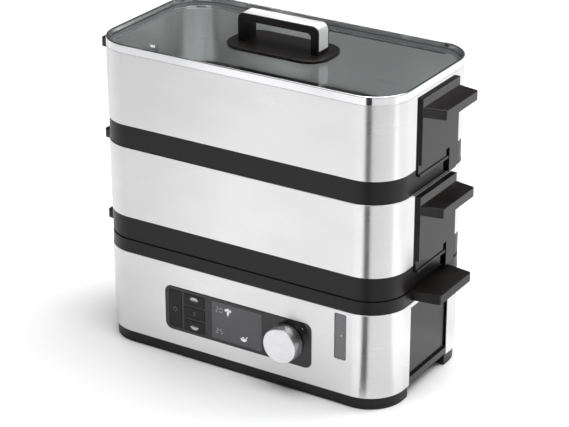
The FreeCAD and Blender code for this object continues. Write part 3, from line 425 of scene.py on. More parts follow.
class Finish:
    """A material in the making. Sizes of its patterns are in millimetres."""

    def __init__(self, name):
        self.material = bpy.data.materials.new(name)
        self.material.use_nodes = True
        self.nodes = self.material.node_tree.nodes
        self.links = self.material.node_tree.links
        self.shader = self.nodes["Principled BSDF"]

    def set(self, **values):
        """Sets the shader's own sockets. A name's underscores stand for spaces."""
        for name, value in values.items():
            self.shader.inputs[name.replace("_", " ")].default_value = value

    def place(self):
        """Where a point lies on its piece, in metres."""
        return self.nodes.new("ShaderNodeTexCoord").outputs["Object"]

    def along(self, axis):
        """How far a point lies along one of its piece's axes, in metres."""
        split = self.nodes.new("ShaderNodeSeparateXYZ")
        self.links.new(self.place(), split.inputs["Vector"])
        return split.outputs[axis]

    def noise(self, size, detail=2.0):
        """Noise whose cells have the given size along X, Y and Z."""
        mapping = self.nodes.new("ShaderNodeMapping")
        mapping.inputs["Scale"].default_value = [1 / (s * METRES) for s in size]
        self.links.new(self.place(), mapping.inputs["Vector"])
        texture = self.nodes.new("ShaderNodeTexNoise")
        texture.inputs["Scale"].default_value = 1.0
        texture.inputs["Detail"].default_value = detail
        self.links.new(mapping.outputs["Vector"], texture.inputs["Vector"])
        return texture.outputs["Fac"]

    def spread(self, value, low, high, start=0.3, end=0.7):
        """Maps a pattern's range onto another range."""
        node = self.nodes.new("ShaderNodeMapRange")
        self.links.new(value, node.inputs["Value"])
        for name, number in (("From Min", start), ("From Max", end), ("To Min", low),
                             ("To Max", high)):
            node.inputs[name].default_value = number
        return node.outputs["Result"]

    def total(self, first, second, operation="ADD"):
        """Adds or multiplies patterns and numbers."""
        node = self.nodes.new("ShaderNodeMath")
        node.operation = operation
        for socket, value in zip(node.inputs, (first, second)):
            if isinstance(value, float):
                socket.default_value = value
            else:
                self.links.new(value, socket)
        return node.outputs[0]

    def colours(self, factor, first, second):
        """Mixes two colours by a pattern. The first may itself be a mix."""
        node = self.nodes.new("ShaderNodeMix")
        node.data_type = "RGBA"
        self.links.new(factor, node.inputs["Factor"])
        if isinstance(first, bpy.types.NodeSocket):
            self.links.new(first, node.inputs[MIX_FIRST])
        else:
            node.inputs[MIX_FIRST].default_value = (*first, 1.0)
        node.inputs[MIX_SECOND].default_value = (*second, 1.0)
        return node.outputs[MIX_RESULT]

    def mottled(self, pattern, colour, share):
        """A colour that falls to a share of itself where the pattern is low."""
        return self.colours(self.spread(pattern, 0.0, 1.0), [c * share for c in colour], colour)

    def edges(self, width):
        """1 on worn edges, 0 on flat faces."""
        bevel = self.nodes.new("ShaderNodeBevel")
        bevel.samples = 3
        bevel.inputs["Radius"].default_value = width * METRES
        geometry = self.nodes.new("ShaderNodeNewGeometry")
        dot = self.nodes.new("ShaderNodeVectorMath")
        dot.operation = "DOT_PRODUCT"
        self.links.new(bevel.outputs["Normal"], dot.inputs[0])
        self.links.new(geometry.outputs["Normal"], dot.inputs[1])
        return self.spread(dot.outputs["Value"], 1.0, 0.0, 0.85, 0.99)

    def bump(self, height, depth):
        """Lifts the surface's light and shade by a pattern."""
        node = self.nodes.new("ShaderNodeBump")
        node.inputs["Distance"].default_value = depth * METRES
        self.links.new(height, node.inputs["Height"])
        return node.outputs["Normal"]

    def drive(self, **sockets):
        """Links patterns to the shader's sockets, named as in set()."""
        for name, value in sockets.items():
            self.links.new(value, self.shader.inputs[name.replace("_", " ")])


def brushed(name, colour, grain, roughness, anisotropy):
    """Brushed metal whose grain runs along the two long sizes of a cell."""
    finish = Finish(name)
    finish.set(Metallic=1.0, Anisotropic=anisotropy, Anisotropic_Rotation=0.25)
    tangent = finish.nodes.new("ShaderNodeTangent")
    tangent.direction_type = "RADIAL"
    tangent.axis = "Z"
    streaks = finish.noise(grain, 3.0)
    cloud = finish.noise((60.0, 60.0, 25.0))
    finish.drive(
        Base_Color=finish.mottled(streaks, colour, 0.96),
        Roughness=finish.total(finish.spread(streaks, roughness - 0.03, roughness + 0.03),
                               finish.spread(cloud, -0.02, 0.02)),
        Normal=finish.bump(streaks, 0.004),
        Tangent=tangent.outputs["Tangent"])
    return finish.material


def moulded(name, colour, roughness, texture=0.35, depth=0.02, wear=0.35, coat=0.0,
            gloss=0.5):
    """Moulded plastic with a fine spark texture and slightly polished edges.

    texture is the size of the sparks and depth their height; wear is how pale edges get.
    """
    finish = Finish(name)
    finish.set(Coat_Weight=coat, Coat_Roughness=0.08, Specular_IOR_Level=gloss)
    spark = finish.noise((texture, texture, texture), 2.0)
    cloud = finish.noise((35.0, 35.0, 35.0))
    edge = finish.edges(0.5)
    pale = [c * 1.6 + 0.01 for c in colour]
    worn = finish.total(edge, wear, "MULTIPLY")
    finish.drive(
        Base_Color=finish.colours(finish.total(worn, finish.spread(cloud, 0.0, 0.15)),
                                  colour, pale),
        Roughness=finish.total(finish.spread(spark, roughness - 0.04, roughness + 0.04),
                               finish.total(finish.spread(cloud, -0.03, 0.03),
                                            finish.total(edge, -0.08, "MULTIPLY"))),
        Normal=finish.bump(spark, depth))
    return finish.material


def plain_metal(name, colour, roughness, size=(1.5, 1.5, 1.5), depth=0.003):
    """Metal without a grain: smudges change its gloss."""
    finish = Finish(name)
    finish.set(Metallic=1.0)
    fine = finish.noise(size, 3.0)
    smudge = finish.noise((22.0, 22.0, 22.0), 3.0)
    finish.drive(Base_Color=finish.mottled(smudge, colour, 0.93),
                 Roughness=finish.total(finish.spread(fine, roughness * 0.8, roughness * 1.2),
                                        finish.spread(smudge, 0.0, 0.05)),
                 Normal=finish.bump(fine, depth))
    return finish.material


def glass(name, colour):
    """Clear glass with faint smears. Lamps shine through it."""
    finish = Finish(name)
    finish.set(Transmission_Weight=1.0, IOR=1.5)
    smear = finish.noise((40.0, 25.0, 40.0), 4.0)
    cloud = finish.noise((90.0, 90.0, 90.0))
    finish.drive(Base_Color=finish.mottled(cloud, colour, 0.99),
                 Roughness=finish.spread(smear, 0.0, 0.02, 0.45, 0.8))
    ray = finish.nodes.new("ShaderNodeLightPath")
    clear = finish.nodes.new("ShaderNodeBsdfTransparent")
    clear.inputs["Color"].default_value = (*colour, 1.0)
    mix = finish.nodes.new("ShaderNodeMixShader")
    finish.links.new(ray.outputs["Is Shadow Ray"], mix.inputs["Fac"])
    finish.links.new(finish.shader.outputs["BSDF"], mix.inputs[1])
    finish.links.new(clear.outputs["BSDF"], mix.inputs[2])
    finish.links.new(mix.outputs["Shader"], finish.nodes["Material Output"].inputs["Surface"])
    return finish.material


KNOB_SATIN = (0.0005, 0.0009)       # where the duller face gives way to the side, in metres


def knob_finish(name):
    """Turned aluminium: fine rings about the knob's own axis."""
    finish = Finish(name)
    finish.set(Metallic=1.0, Anisotropic=0.5)
    rings = finish.nodes.new("ShaderNodeTexWave")
    rings.wave_type = "RINGS"
    rings.rings_direction = "Y"
    rings.inputs["Scale"].default_value = 1.2 / METRES
    rings.inputs["Distortion"].default_value = 0.3
    finish.links.new(finish.place(), rings.inputs["Vector"])
    smudge = finish.noise((9.0, 9.0, 9.0), 3.0)
    satin = finish.spread(finish.along("Y"), 0.38, 0.32, *KNOB_SATIN)
    finish.drive(Roughness=finish.total(satin, finish.spread(smudge, 0.0, 0.05)),
                 Base_Color=finish.colours(finish.spread(smudge, 0.0, 1.0),
                                           (0.78, 0.78, 0.79), (0.85, 0.85, 0.86)),
                 Normal=finish.bump(rings.outputs["Fac"], 0.003))
    return finish.material


def display_finish(name):
    """Unlit liquid crystal behind glossy glass: violet grey, with a fine grain."""
    finish = Finish(name)
    finish.set(Coat_Weight=1.0, Coat_Roughness=0.03)
    cloud = finish.noise((45.0, 45.0, 30.0))
    grain = finish.noise((0.5, 0.5, 0.5))
    finish.drive(Base_Color=finish.colours(finish.spread(cloud, 0.0, 1.0),
                                           (0.020, 0.017, 0.023), (0.034, 0.030, 0.038)),
                 Roughness=finish.spread(grain, 0.3, 0.4))
    return finish.material


def painted_glow_symbol(name, colour, strength):
    """A symbol that glows a little by painted light, as the display is unlit, with uneven painted
    light across it.
    """
    finish = Finish(name)
    finish.set(Roughness=0.5, Emission_Strength=strength)
    shade = finish.mottled(finish.noise((2.0, 2.0, 2.0)), colour, 0.8)
    finish.drive(Base_Color=shade, Emission_Color=shade)
    return finish.material


def print_ink(name, colour):
    """Pad-printed ink, a little uneven at its edges."""
    finish = Finish(name)
    spots = finish.noise((0.3, 0.3, 0.3))
    finish.drive(Base_Color=finish.mottled(spots, colour, 0.85),
                 Roughness=finish.spread(spots, 0.45, 0.6))
    return finish.material


BLACK = (0.0058, 0.0048, 0.0045)
FINISHES = {
    "brushed_steel": brushed("brushed_steel_look", (0.81, 0.806, 0.81), (90.0, 90.0, 0.25),
                             roughness=0.31, anisotropy=0.78),
    "grid_steel": brushed("grid_steel_look", (0.72, 0.72, 0.73), (40.0, 0.3, 40.0),
                          roughness=0.32, anisotropy=0.4),
    "polished_steel": plain_metal("polished_steel_look", (0.84, 0.84, 0.85), 0.08),
    "black_plastic": moulded("black_plastic_look", BLACK, 0.38, gloss=0.3),
    "panel_plastic": moulded("panel_plastic_look", (0.0085, 0.0078, 0.0078), 0.12, texture=0.6,
                             depth=0.002, wear=0.2, coat=0.32, gloss=0.4),
    "key_plastic": moulded("key_plastic_look", (0.0065, 0.0058, 0.0055), 0.22, texture=0.3,
                           depth=0.004, gloss=0.28),
    "end_panel_plastic": moulded("end_panel_plastic_look", BLACK, 0.24, gloss=0.36),
    "clear_glass": glass("clear_glass_look", (0.965, 0.985, 0.975)),
    "display_glass": display_finish("display_glass_look"),
    "display_cell": moulded("display_cell_look", (0.10, 0.11, 0.10), 0.4),
    "window_plastic": moulded("window_plastic_look", (0.13, 0.13, 0.135), 0.12, texture=1.0,
                              depth=0.002, wear=0.2, coat=0.8),
    "silicone": moulded("silicone_look", (0.10, 0.10, 0.105), 0.6, texture=0.5, depth=0.01),
    "foot_rubber": moulded("foot_rubber_look", (0.02, 0.02, 0.021), 0.75, texture=0.5,
                           depth=0.03, wear=0.2),
    "knob_metal": knob_finish("knob_metal_look"),
    "heater_metal": plain_metal("heater_metal_look", (0.55, 0.55, 0.56), 0.42,
                                size=(0.8, 0.8, 0.8), depth=0.02),
    "tank_plastic": moulded("tank_plastic_look", (0.03, 0.03, 0.032), 0.4),
    "screw_steel": plain_metal("screw_steel_look", (0.62, 0.62, 0.63), 0.25),
    "circuit_board": moulded("circuit_board_look", (0.01, 0.12, 0.04), 0.35, texture=0.8),
    "component_black": moulded("component_black_look", (0.02, 0.02, 0.02), 0.35),
    "component_blue": moulded("component_blue_look", (0.02, 0.08, 0.35), 0.35),
    "component_yellow": moulded("component_yellow_look", (0.6, 0.42, 0.03), 0.4),
    "nylon": moulded("nylon_look", (0.6, 0.58, 0.52), 0.5),
    "encoder_metal": plain_metal("encoder_metal_look", (0.6, 0.6, 0.6), 0.3),
    "brass": plain_metal("brass_look", (0.75, 0.55, 0.25), 0.3),
}
SATIN_STRIP = brushed("satin_strip_look", (0.95, 0.95, 0.95), (30.0, 0.3, 30.0),
                      roughness=0.6, anisotropy=0.2)
# The display's symbols glow by painted light: the display itself is unlit.
BRIGHT_PAINTED_GLOW = painted_glow_symbol("symbol_lit_look", (0.85, 0.83, 0.85), 0.35)
FAINT_PAINTED_GLOW = painted_glow_symbol("symbol_faint_look", (0.42, 0.40, 0.42), 0.12)
# Print on the keys; in the water window the same ink makes a painted highlight.
PRINT_AND_PAINTED_HIGHLIGHT = print_ink("symbol_printed_look", (0.72, 0.72, 0.72))
PRINTED_FAINT = print_ink("symbol_faint_print_look", (0.16, 0.155, 0.155))


# A pot in two halves: the key's own tier is the bright one.
POT_LINE = bar(-LINE_HALF, 0, LINE_HALF, 0, SYMBOL_STROKE)
LID_HALF = [shifted(half_disc(*POT_HALF), 0, POT_GAP)]
DISH_HALF = [shifted(half_disc(POT_HALF[0], -POT_HALF[1]), 0, -POT_GAP)]
LID_LINE = [shifted(POT_LINE, 0, LINE_GAP)]
DISH_LINE = [shifted(POT_LINE, 0, -LINE_GAP)]

# Each key's shapes: a name, the outlines and the ink.
KEY_SYMBOLS = {
    "power_key": [("ring", [arc_band(1.9, 125, 415, SYMBOL_STROKE),
                            bar(0, 0.6, 0, 2.5, SYMBOL_STROKE)],
                   PRINTED_FAINT)],
    "upper_tier_key": [("lid", LID_HALF, PRINT_AND_PAINTED_HIGHLIGHT), ("dish", DISH_LINE, PRINTED_FAINT)],
    "menu_key": [("lines", [bar(-1.4, v, 1.4, v, 0.4) for v in (-1.3, 0.0, 1.3)],
                  PRINTED_FAINT)],
    "lower_tier_key": [("dish", DISH_HALF, PRINT_AND_PAINTED_HIGHLIGHT), ("lid", LID_LINE, PRINTED_FAINT)],
}

# The digits of each tier's timer, and how far above the display's middle they stand.
TIMERS = (((2, 0), UPPER_TIMER_HEIGHT), ((2, 5), LOWER_TIMER_HEIGHT))


def finish_frame():
    """Gives every CAD node the finish of its own material."""
    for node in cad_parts.values():
        for holder in node.material_slots:
            holder.material = FINISHES[holder.material.name.split(".")[0]]


def stands_for(piece, body, slot, *nodes, material=None):
    """Finishes a piece and puts it on its body, in the place of the CAD nodes given."""
    smooth(piece)
    piece.data.materials.clear()
    piece.data.materials.append(material or FINISHES[slot])
    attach(piece, body)
    if nodes:
        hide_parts(*nodes)
    return piece


# ---------------------------------------------------------------- base


def block(x0, x1, y0, y1, z0, z1):
    """A plain block that cuts a piece."""
    loops = [[(x0, y0, z), (x1, y0, z), (x1, y1, z), (x0, y1, z)] for z in (z0, z1)]
    return loft("cutter", loops)


def upright_cutter(width, height, radius, x, z, y, reach):
    """A block with round corners that cuts through an upright wall at depth y."""
    return plate("cutter", rectangle(width, height, radius), y - reach, y + reach,
                 facing_front(x, z), CUTTER_EDGE, CUTTER_EDGE)


def front_cutter(width, height, radius, x, z):
    """A block with round corners that cuts through the front."""
    return upright_cutter(width, height, radius, x, z, FRONT_Y, CUTTER_REACH)


def lens_cutter(node, radius):
    """The opening in the front that a lens fits, with a gap all round."""
    low, high = node_box(node)
    centre = (low + high) / 2
    return front_cutter(high.x - low.x + 2 * FIT_GAP, high.z - low.z + 2 * FIT_GAP, radius,
                        centre.x, centre.z)


def steel_wall(name, node, inner_edge):
    """A steel wall of the stack, over the height of its CAD node."""
    low, high = node_box(node)
    return stack_ring(name, [(0, low.z, SHEET_EDGE), (0, high.z, STEEL_LIP),
                             (STEEL_WALL, high.z, inner_edge),
                             (STEEL_WALL, low.z, SHEET_EDGE)])


def build_base_steel():
    """The base's skin, open for the panel, the window, both end covers and the gland."""
    low, high = node_box("base_shell")
    skin = steel_wall("base_steel", "base_shell", SHEET_EDGE)
    cutters = [front_cutter(PANEL_LENGTH + 2 * FIT_GAP, PANEL_HEIGHT + 2 * FIT_GAP,
                            PANEL_RADIUS + FIT_GAP, 0, middle("display_lens").z),
               lens_cutter("water_window_lens", LENS_RADIUS + FIT_GAP)]
    for side in (-1, 1):
        x0, x1 = sorted((side * (HALF_LENGTH - END_CUT), side * (HALF_LENGTH + END_CUT)))
        cutters.append(block(x0, x1, CENTRE_Y - END_OPENING / 2, CENTRE_Y + END_OPENING / 2,
                             low.z - END_CUT, high.z - END_BRIDGE))
    gland = middle("cord_gland")
    cutters.append(upright_cutter(2 * GLAND_HOLE_RADIUS, 2 * GLAND_HOLE_RADIUS,
                                  GLAND_HOLE_RADIUS, gland.x, gland.z, SHELL_HIGH.y, BACK_CUT))
    cut(skin, cutters)
    stands_for(skin, "base", "brushed_steel", "base_shell")


def build_base_mouldings():
    """The black moulding under the skin, the feet, the cord's bushing and the end covers."""
    for name, node, slot, width in (
            ("base_bottom_moulding", "base_chassis", "black_plastic", MOULDED_EDGE),
            ("base_feet", "rubber_feet", "foot_rubber", 0.3),
            ("cord_bushing", "cord_gland", "black_plastic", 0.2)):
        stands_for(refined(name, node, width), "base", slot, node)
    for side in ("right", "left"):
        cover = refined("base_end_cover_" + side, "base_end_panel_right", MOULDED_EDGE,
                        turn=side == "left")
        stands_for(cover, "base", "end_panel_plastic", "base_end_panel_" + side)


def build_lens(name, node, slot, front_edge, back_edge):
    """A flat lens in the front, over its CAD node's box."""
    low, high = node_box(node)
    centre = (low + high) / 2
    lens = plate(name, rectangle(high.x - low.x, high.z - low.z, LENS_RADIUS), low.y, high.y,
                 facing_front(centre.x, centre.z), front_edge, back_edge)
    stands_for(lens, "base", slot, node)


def build_window():
    """The water window: a recessed clear strip with two level marks, and a pale dot between them
    that is a painted highlight.
    """
    build_lens("water_window", "water_window_lens", "window_plastic", front_edge=0.4,
               back_edge=0.1)
    low, high = node_box("water_window_lens")
    x = middle("water_window_lens").x + WINDOW_MARK_SHIFT
    line = bar(-WINDOW_LINE_HALF, 0, WINDOW_LINE_HALF, 0, SYMBOL_STROKE)
    for name, outline, share, ink in (("water_mark_low", line, 0.2, PRINTED_FAINT),
                                      # the pale dot in the middle is a painted highlight
                                      ("water_window_painted_highlight", disc(0.7, 0.9), 0.52, PRINT_AND_PAINTED_HIGHLIGHT),
                                      ("water_mark_high", line, 0.8, PRINTED_FAINT)):
        flat_symbol(name, [outline], x, low.y, low.z + (high.z - low.z) * share, "base",
                    "window_plastic", ink)


def key_face(node):
    """A key's middle, and the width and height of its cap."""
    low, high = node_box(node)
    less = 2 * (KEY_FLANGE + KEY_CLEARANCE)
    return (low + high) / 2, high.x - low.x - less, high.z - low.z - less


def build_fascia():
    """The panel's front, open for the display, the keys and the knob's shaft."""
    front = node_box("control_panel")[0].y
    outline = rectangle(PANEL_LENGTH, PANEL_HEIGHT, PANEL_RADIUS, LARGE_CORNER_STEPS)
    fascia = plate("fascia", outline, front, front + PANEL_THICKNESS,
                   facing_front(0, middle("display_lens").z), start_edge=0.5, end_edge=0.1)
    cutters = [lens_cutter("display_lens", LENS_RADIUS)]
    for node in KEY_SYMBOLS:
        centre, width, height = key_face(node)
        cutters.append(front_cutter(width + 2 * KEY_CLEARANCE, height + 2 * KEY_CLEARANCE,
                                    KEY_RADIUS, centre.x, centre.z))
    knob = middle("knob_cap")
    cutters.append(front_cutter(2 * SHAFT_HOLE_RADIUS, 2 * SHAFT_HOLE_RADIUS,
                                SHAFT_HOLE_RADIUS, knob.x, knob.z))
    cut(fascia, cutters)
    stands_for(soften(fascia, 0.12), "base", "panel_plastic", "control_panel")


def build_keys():
    """The four keys, each with its own printed symbol."""
    for node, symbols in KEY_SYMBOLS.items():
        low, high = node_box(node)
        centre, width, height = key_face(node)
        cap = plate(node + "_cap", rectangle(width, height, KEY_RADIUS), low.y, high.y,
                    facing_front(centre.x, centre.z), start_edge=0.3, end_edge=0.05)
        stands_for(cap, node, "key_plastic", node)
        for part, outlines, ink in symbols:
            flat_symbol(f"{node}_{part}", outlines, centre.x, low.y, centre.z, node,
                        "key_plastic", ink)


def build_display_symbols():
    """Generic pictures in the display: two timers, a root vegetable and a bowl."""
    symbols = []
    for row, (digits, v) in enumerate(TIMERS):
        outlines = []
        for digit, u in zip(digits, TIMER_COLUMNS):
            outlines += [shifted(o, u, v) for o in digit_outlines(digit)]
        symbols.append((f"display_timer_{row + 1}", outlines, FAINT_PAINTED_GLOW))
    root = [(-1.2, 0.4), (-0.4, -3.4), (0.2, -3.5), (1.5, 0.3), (0.8, 0.9), (-0.6, 1.0)]
    leaves = [shifted(disc(1.4, 1.2), du, 1.9 + dv) for du, dv in
              ((-2.1, 0.0), (0.0, 0.9), (2.1, 0.0))]
    vegetable = [shifted(o, *VEGETABLE_PLACE) for o in [root] + leaves]
    dish = [half_disc(3.4, -3.0), bar(2.2, 0.7, 4.2, 2.2, 0.7),
            shifted(disc(1.4, 0.5), -0.6, 0.8)]
    symbols += [("display_vegetable", vegetable, BRIGHT_PAINTED_GLOW),
                ("display_dish", [shifted(o, *DISH_PLACE) for o in dish], BRIGHT_PAINTED_GLOW)]
    front = node_box("display_lens")[0].y
    centre = middle("display_lens")
    for name, outlines, light in symbols:
        flat_symbol(name, outlines, centre.x, front, centre.z, "base", "display_glass", light)


def build_fascia_marks():
    """Two small marks beside the knob: a faint arc and a pale dot."""
    front = node_box("control_panel")[0].y
    z = middle("display_lens").z
    for name, outline, (x, up), ink in (
            ("fascia_mark_left", arc_band(0.9, 0, 300, 0.3), FASCIA_LEFT_MARK, PRINTED_FAINT),
            ("fascia_mark_right", disc(0.5, 0.5), FASCIA_RIGHT_MARK, PRINT_AND_PAINTED_HIGHLIGHT)):
        flat_symbol(name, [outline], x, front, z + up, "base", "panel_plastic", ink)


def build_knob():
    """A turned cup with a rounded rim and a shallow dished face."""
    low, high = node_box("knob_cap")
    centre = (low + high) / 2
    rear = (high.x - low.x) / 2
    face = rear - KNOB_TAPER
    length = high.y - low.y + KNOB_SKIRT
    profile = [(KNOB_HUB, 0.45), (8.0, 0.35), (face - KNOB_RIM - 1.6, 0.15),
               (face - KNOB_RIM - 0.8, 0.0), (face - KNOB_RIM, 0.0)]
    profile += [(face - inset, along) for inset, along in edge_steps(KNOB_RIM, KNOB_RIM_STEPS)][1:]
    profile += [(rear - 0.02, length - 0.3), (rear - 0.3, length), (rear - KNOB_WALL, length),
                (face - KNOB_WALL, KNOB_FACE), (KNOB_HUB, KNOB_FACE)]
    knob = loft("knob_metal_cup", turned_loops(profile))
    knob.location = Vector((centre.x, low.y, centre.z)) * METRES
    stands_for(knob, "knob", "knob_metal", "knob_cap")


# ---------------------------------------------------------------- tray, tiers and lid


def build_tray():
    """The black tray between the base and the lower tier."""
    stands_for(refined("drip_tray_moulding", "drip_tray", MOULDED_EDGE), "drip_tray",
               "black_plastic", "drip_tray")


def build_tier(tier):
    """One tier: its steel wall, its black band and its two handles."""
    shell = tier + "_shell"
    stands_for(steel_wall(tier + "_steel", shell, 0.3), tier, "brushed_steel", shell)
    top = node_box(shell)[0].z
    bottom = top - BAND_HEIGHT
    band_top = node_box(tier + "_band")[1].z
    inner = BAND_INSET + BAND_WALL
    ledge_top = bottom + LEDGE_HEIGHT + LEDGE_THICKNESS - SEAT_GAP
    upstand = STEEL_WALL + FIT_GAP
    band = stack_ring(tier + "_foot_band", [
        (BAND_INSET, bottom, 0.6), (BAND_INSET, top, 0.3), (upstand, top, 0.05),
        (upstand, band_top, 0.4), (upstand + UPSTAND_WIDTH, band_top, 0.8),
        (upstand + UPSTAND_WIDTH, top, 0.3), (inner, top, 0.3), (inner, ledge_top, 0.3),
        (inner + LEDGE_WIDTH, ledge_top, 0.5), (inner + LEDGE_WIDTH, bottom + LEDGE_HEIGHT, 0.5),
        (inner, bottom + LEDGE_HEIGHT, 0.3), (inner, bottom + LEDGE_THICKNESS, 0.3),
        (SPIGOT_INSET + SPIGOT_WIDTH, bottom + LEDGE_THICKNESS, 0.3),
        (SPIGOT_INSET + SPIGOT_WIDTH, bottom - SPIGOT_DEPTH, 0.5),
        (SPIGOT_INSET, bottom - SPIGOT_DEPTH, 0.5), (SPIGOT_INSET, bottom, 0.3)])
    stands_for(band, tier, "black_plastic", tier + "_band")
    for side in ("right", "left"):
        grip = refined(f"{tier}_grip_{side}", tier + "_handle_right", MOULDED_EDGE,
                       turn=side == "left")
        grip.visible_glossy = False     # the steel shows no mirrored grips
        stands_for(grip, tier, "end_panel_plastic", f"{tier}_handle_{side}")


def build_lid():
    """The lid: its rim, its pane, and the handle with its plate and strip."""
    low, high = node_box("lid_frame")
    glass_low, glass_high = node_box("lid_glass")
    seat_top = node_box("lid_seal")[0].z
    bottom = low.z + LID_SPIGOT_DEPTH
    seat_inner = LID_RIM_WIDTH + LID_SEAT_WIDTH
    rim = stack_ring("lid_rim", [
        (0, bottom, SHEET_EDGE), (0, high.z, LID_RIM_ROUNDING),
        (LID_RIM_WIDTH, high.z, LID_RIM_ROUNDING), (LID_RIM_WIDTH, seat_top, 0.2),
        (seat_inner, seat_top, 0.2), (seat_inner, seat_top - LID_SEAT_THICKNESS, 0.2),
        (LID_RIM_WIDTH, seat_top - LID_SEAT_THICKNESS, 0.2), (LID_RIM_WIDTH, low.z, 0.3),
        (LID_SPIGOT_INSET, low.z, 0.3), (LID_SPIGOT_INSET, bottom, 0.1)])
    stands_for(rim, "lid", "polished_steel", "lid_frame")
    pane = plate("lid_pane", lambda inset: [
        (x, y) for x, y, _ in stack_loop(LID_RIM_WIDTH + FIT_GAP + inset, 0)],
        glass_low.z, glass_high.z, lying(0, 0), start_edge=0.5, end_edge=0.5)
    stands_for(pane, "lid", "clear_glass", "lid_glass")
    plate_low, plate_high = node_box("lid_handle_plate")
    centre = (plate_low + plate_high) / 2
    outline = rectangle(plate_high.x - plate_low.x, plate_high.y - plate_low.y, PLATE_RADIUS,
                        LARGE_CORNER_STEPS)
    foot = plate("lid_grip_plate", outline, plate_low.z, plate_high.z,
                 lying(centre.x, centre.y), start_edge=0.3, end_edge=1.0)
    stands_for(foot, "lid", "black_plastic", "lid_handle_plate")
    stands_for(refined("lid_grip", "lid_handle_grip", 0.3), "lid", "black_plastic",
               "lid_handle_grip")
    stands_for(refined("lid_grip_strip", "lid_handle_trim", 0.2), "lid", "polished_steel",
               "lid_handle_trim", material=SATIN_STRIP)


# ---------------------------------------------------------------- floor, light and camera

CAMERA_AZIMUTH = 32.01
CAMERA_ELEVATION = 24.12
CAMERA_ROLL = -0.07
CAMERA_DISTANCE = 1.782
CAMERA_TARGET = Vector((0.0084, -0.0062, 0.1320))
CAMERA_LENS = 128.7
SENSOR_WIDTH = 36.0

WORLD_LIGHT = 0.10
OVERHEAD_PLACE = (0.3, 0.2, 2.6)
OVERHEAD_SIZE = 3.0
OVERHEAD_POWER = 132.0
REAR_LIGHT_PLACE = (1.1, 1.2, 1.3)
REAR_LIGHT_TARGET = (0.35, 0.35, 0)
REAR_LIGHT_SIZE = 1.0
REAR_LIGHT_POWER = 16.0

FLOOR_SIZE = 12.0
FLOOR_COLOUR = (0.88, 0.88, 0.885)
FLOOR_PATCH_COLOUR = (0.86, 0.86, 0.865)
FLOOR_PATCHES = 400.0       # the size of the darker patches, in millimetres
FAR_FLOOR = (1.1, 3.6)      # between these distances from the middle the floor starts to glow
FAR_FLOOR_GLOW = 0.9        # and reaches this strength

# Cards that only reflections see: they paint shade and light into the reflections. Their lengths
# are in millimetres.
CARD_ROUGHNESS = 0.9
FLOOR_CARD_LIFT = 0.6
CORNER_CARD_LIFT = 1.0
HANDLE_CARD_LIFT = 0.05
HANDLE_CARD_WIDTH = 8.0

# The front's card paints reflections: from its left colour, painted shade, to its middle one,
# painted light, and on to its right one, painted shade, over two spans along its X axis in metres.
LEFT_REFLECTION_SHADE = (0.74, 0.74, 0.745)
MIDDLE_REFLECTION_LIGHT = (0.97, 0.97, 0.975)
RIGHT_REFLECTION_SHADE = (0.81, 0.81, 0.815)
LEFT_TO_MIDDLE = (-0.10, -0.03)
MIDDLE_TO_RIGHT = (0.0, 0.095)
SHADE_LEFT_REACH = 800.0
SHADE_RIGHT_REACH = 110.0
SHADE_FRONT_REACH = 2500.0

# The card behind, which paints shade, and the two wedges that the front corner reflects, between
# two azimuths: a painted dark streak and a wedge of painted shade.
REAR_REFLECTION_SHADE = (0.66, 0.66, 0.665)
REAR_START = 92.0
REAR_SIZE = 3000.0
STREAK = (7.0, 23.0)
STREAK_REFLECTION_SHADE = (0.003, 0.003, 0.003)
CORNER_SHADE = (23.0, 88.0)
CORNER_REFLECTION_SHADE = (0.58, 0.58, 0.585)
WEDGE_NEAR = 60.0
WEDGE_FAR = 3000.0


def sheet(name, points, material):
    """A single face with four corners, in metres."""
    mesh = bpy.data.meshes.new(name)
    mesh.from_pydata(points, [], [(0, 1, 2, 3)])
    mesh.materials.append(material)
    return linked(name, mesh)


def build_floor():
    """A pale matt floor that glows far out, so that a low view still has a pale ground."""
    finish = Finish("floor_look")
    finish.set(Specular_IOR_Level=0.0, Emission_Color=(1.0, 1.0, 1.0, 1.0))
    cloud = finish.noise((FLOOR_PATCHES, FLOOR_PATCHES, FLOOR_PATCHES))
    reach = finish.nodes.new("ShaderNodeVectorMath")
    reach.operation = "LENGTH"
    finish.links.new(finish.place(), reach.inputs[0])
    finish.drive(Base_Color=finish.colours(finish.spread(cloud, 0.0, 1.0), FLOOR_PATCH_COLOUR,
                                           FLOOR_COLOUR),
                 Roughness=finish.spread(cloud, 0.45, 0.55),
                 Emission_Strength=finish.spread(reach.outputs["Value"], 0.0, FAR_FLOOR_GLOW,
                                                 *FAR_FLOOR))
    half = FLOOR_SIZE / 2
    floor = sheet("floor", [(-half, -half, 0), (half, -half, 0), (half, half, 0),
                            (-half, half, 0)], finish.material)
    floor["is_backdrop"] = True


def soft_light(name, place, target, size, power):
    """A square softbox that points at a target."""
    data = bpy.data.lights.new(name, "AREA")
    data.shape = "SQUARE"
    data.size = size
    data.energy = power
    light = linked(name, data)
    light.location = place
    light.rotation_euler = (Vector(target) - Vector(place)).to_track_quat("-Z", "Y").to_euler()
    return light


def reflection_card(name, corners, lift, material):
    """A level sheet at a height, from its corners' places, that only reflections see."""
    card = sheet(name, [Vector((x, y, lift)) * METRES for x, y in corners], material)
    card.visible_camera = False
    card.visible_diffuse = False
    card.visible_shadow = False
    card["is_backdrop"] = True
    return card


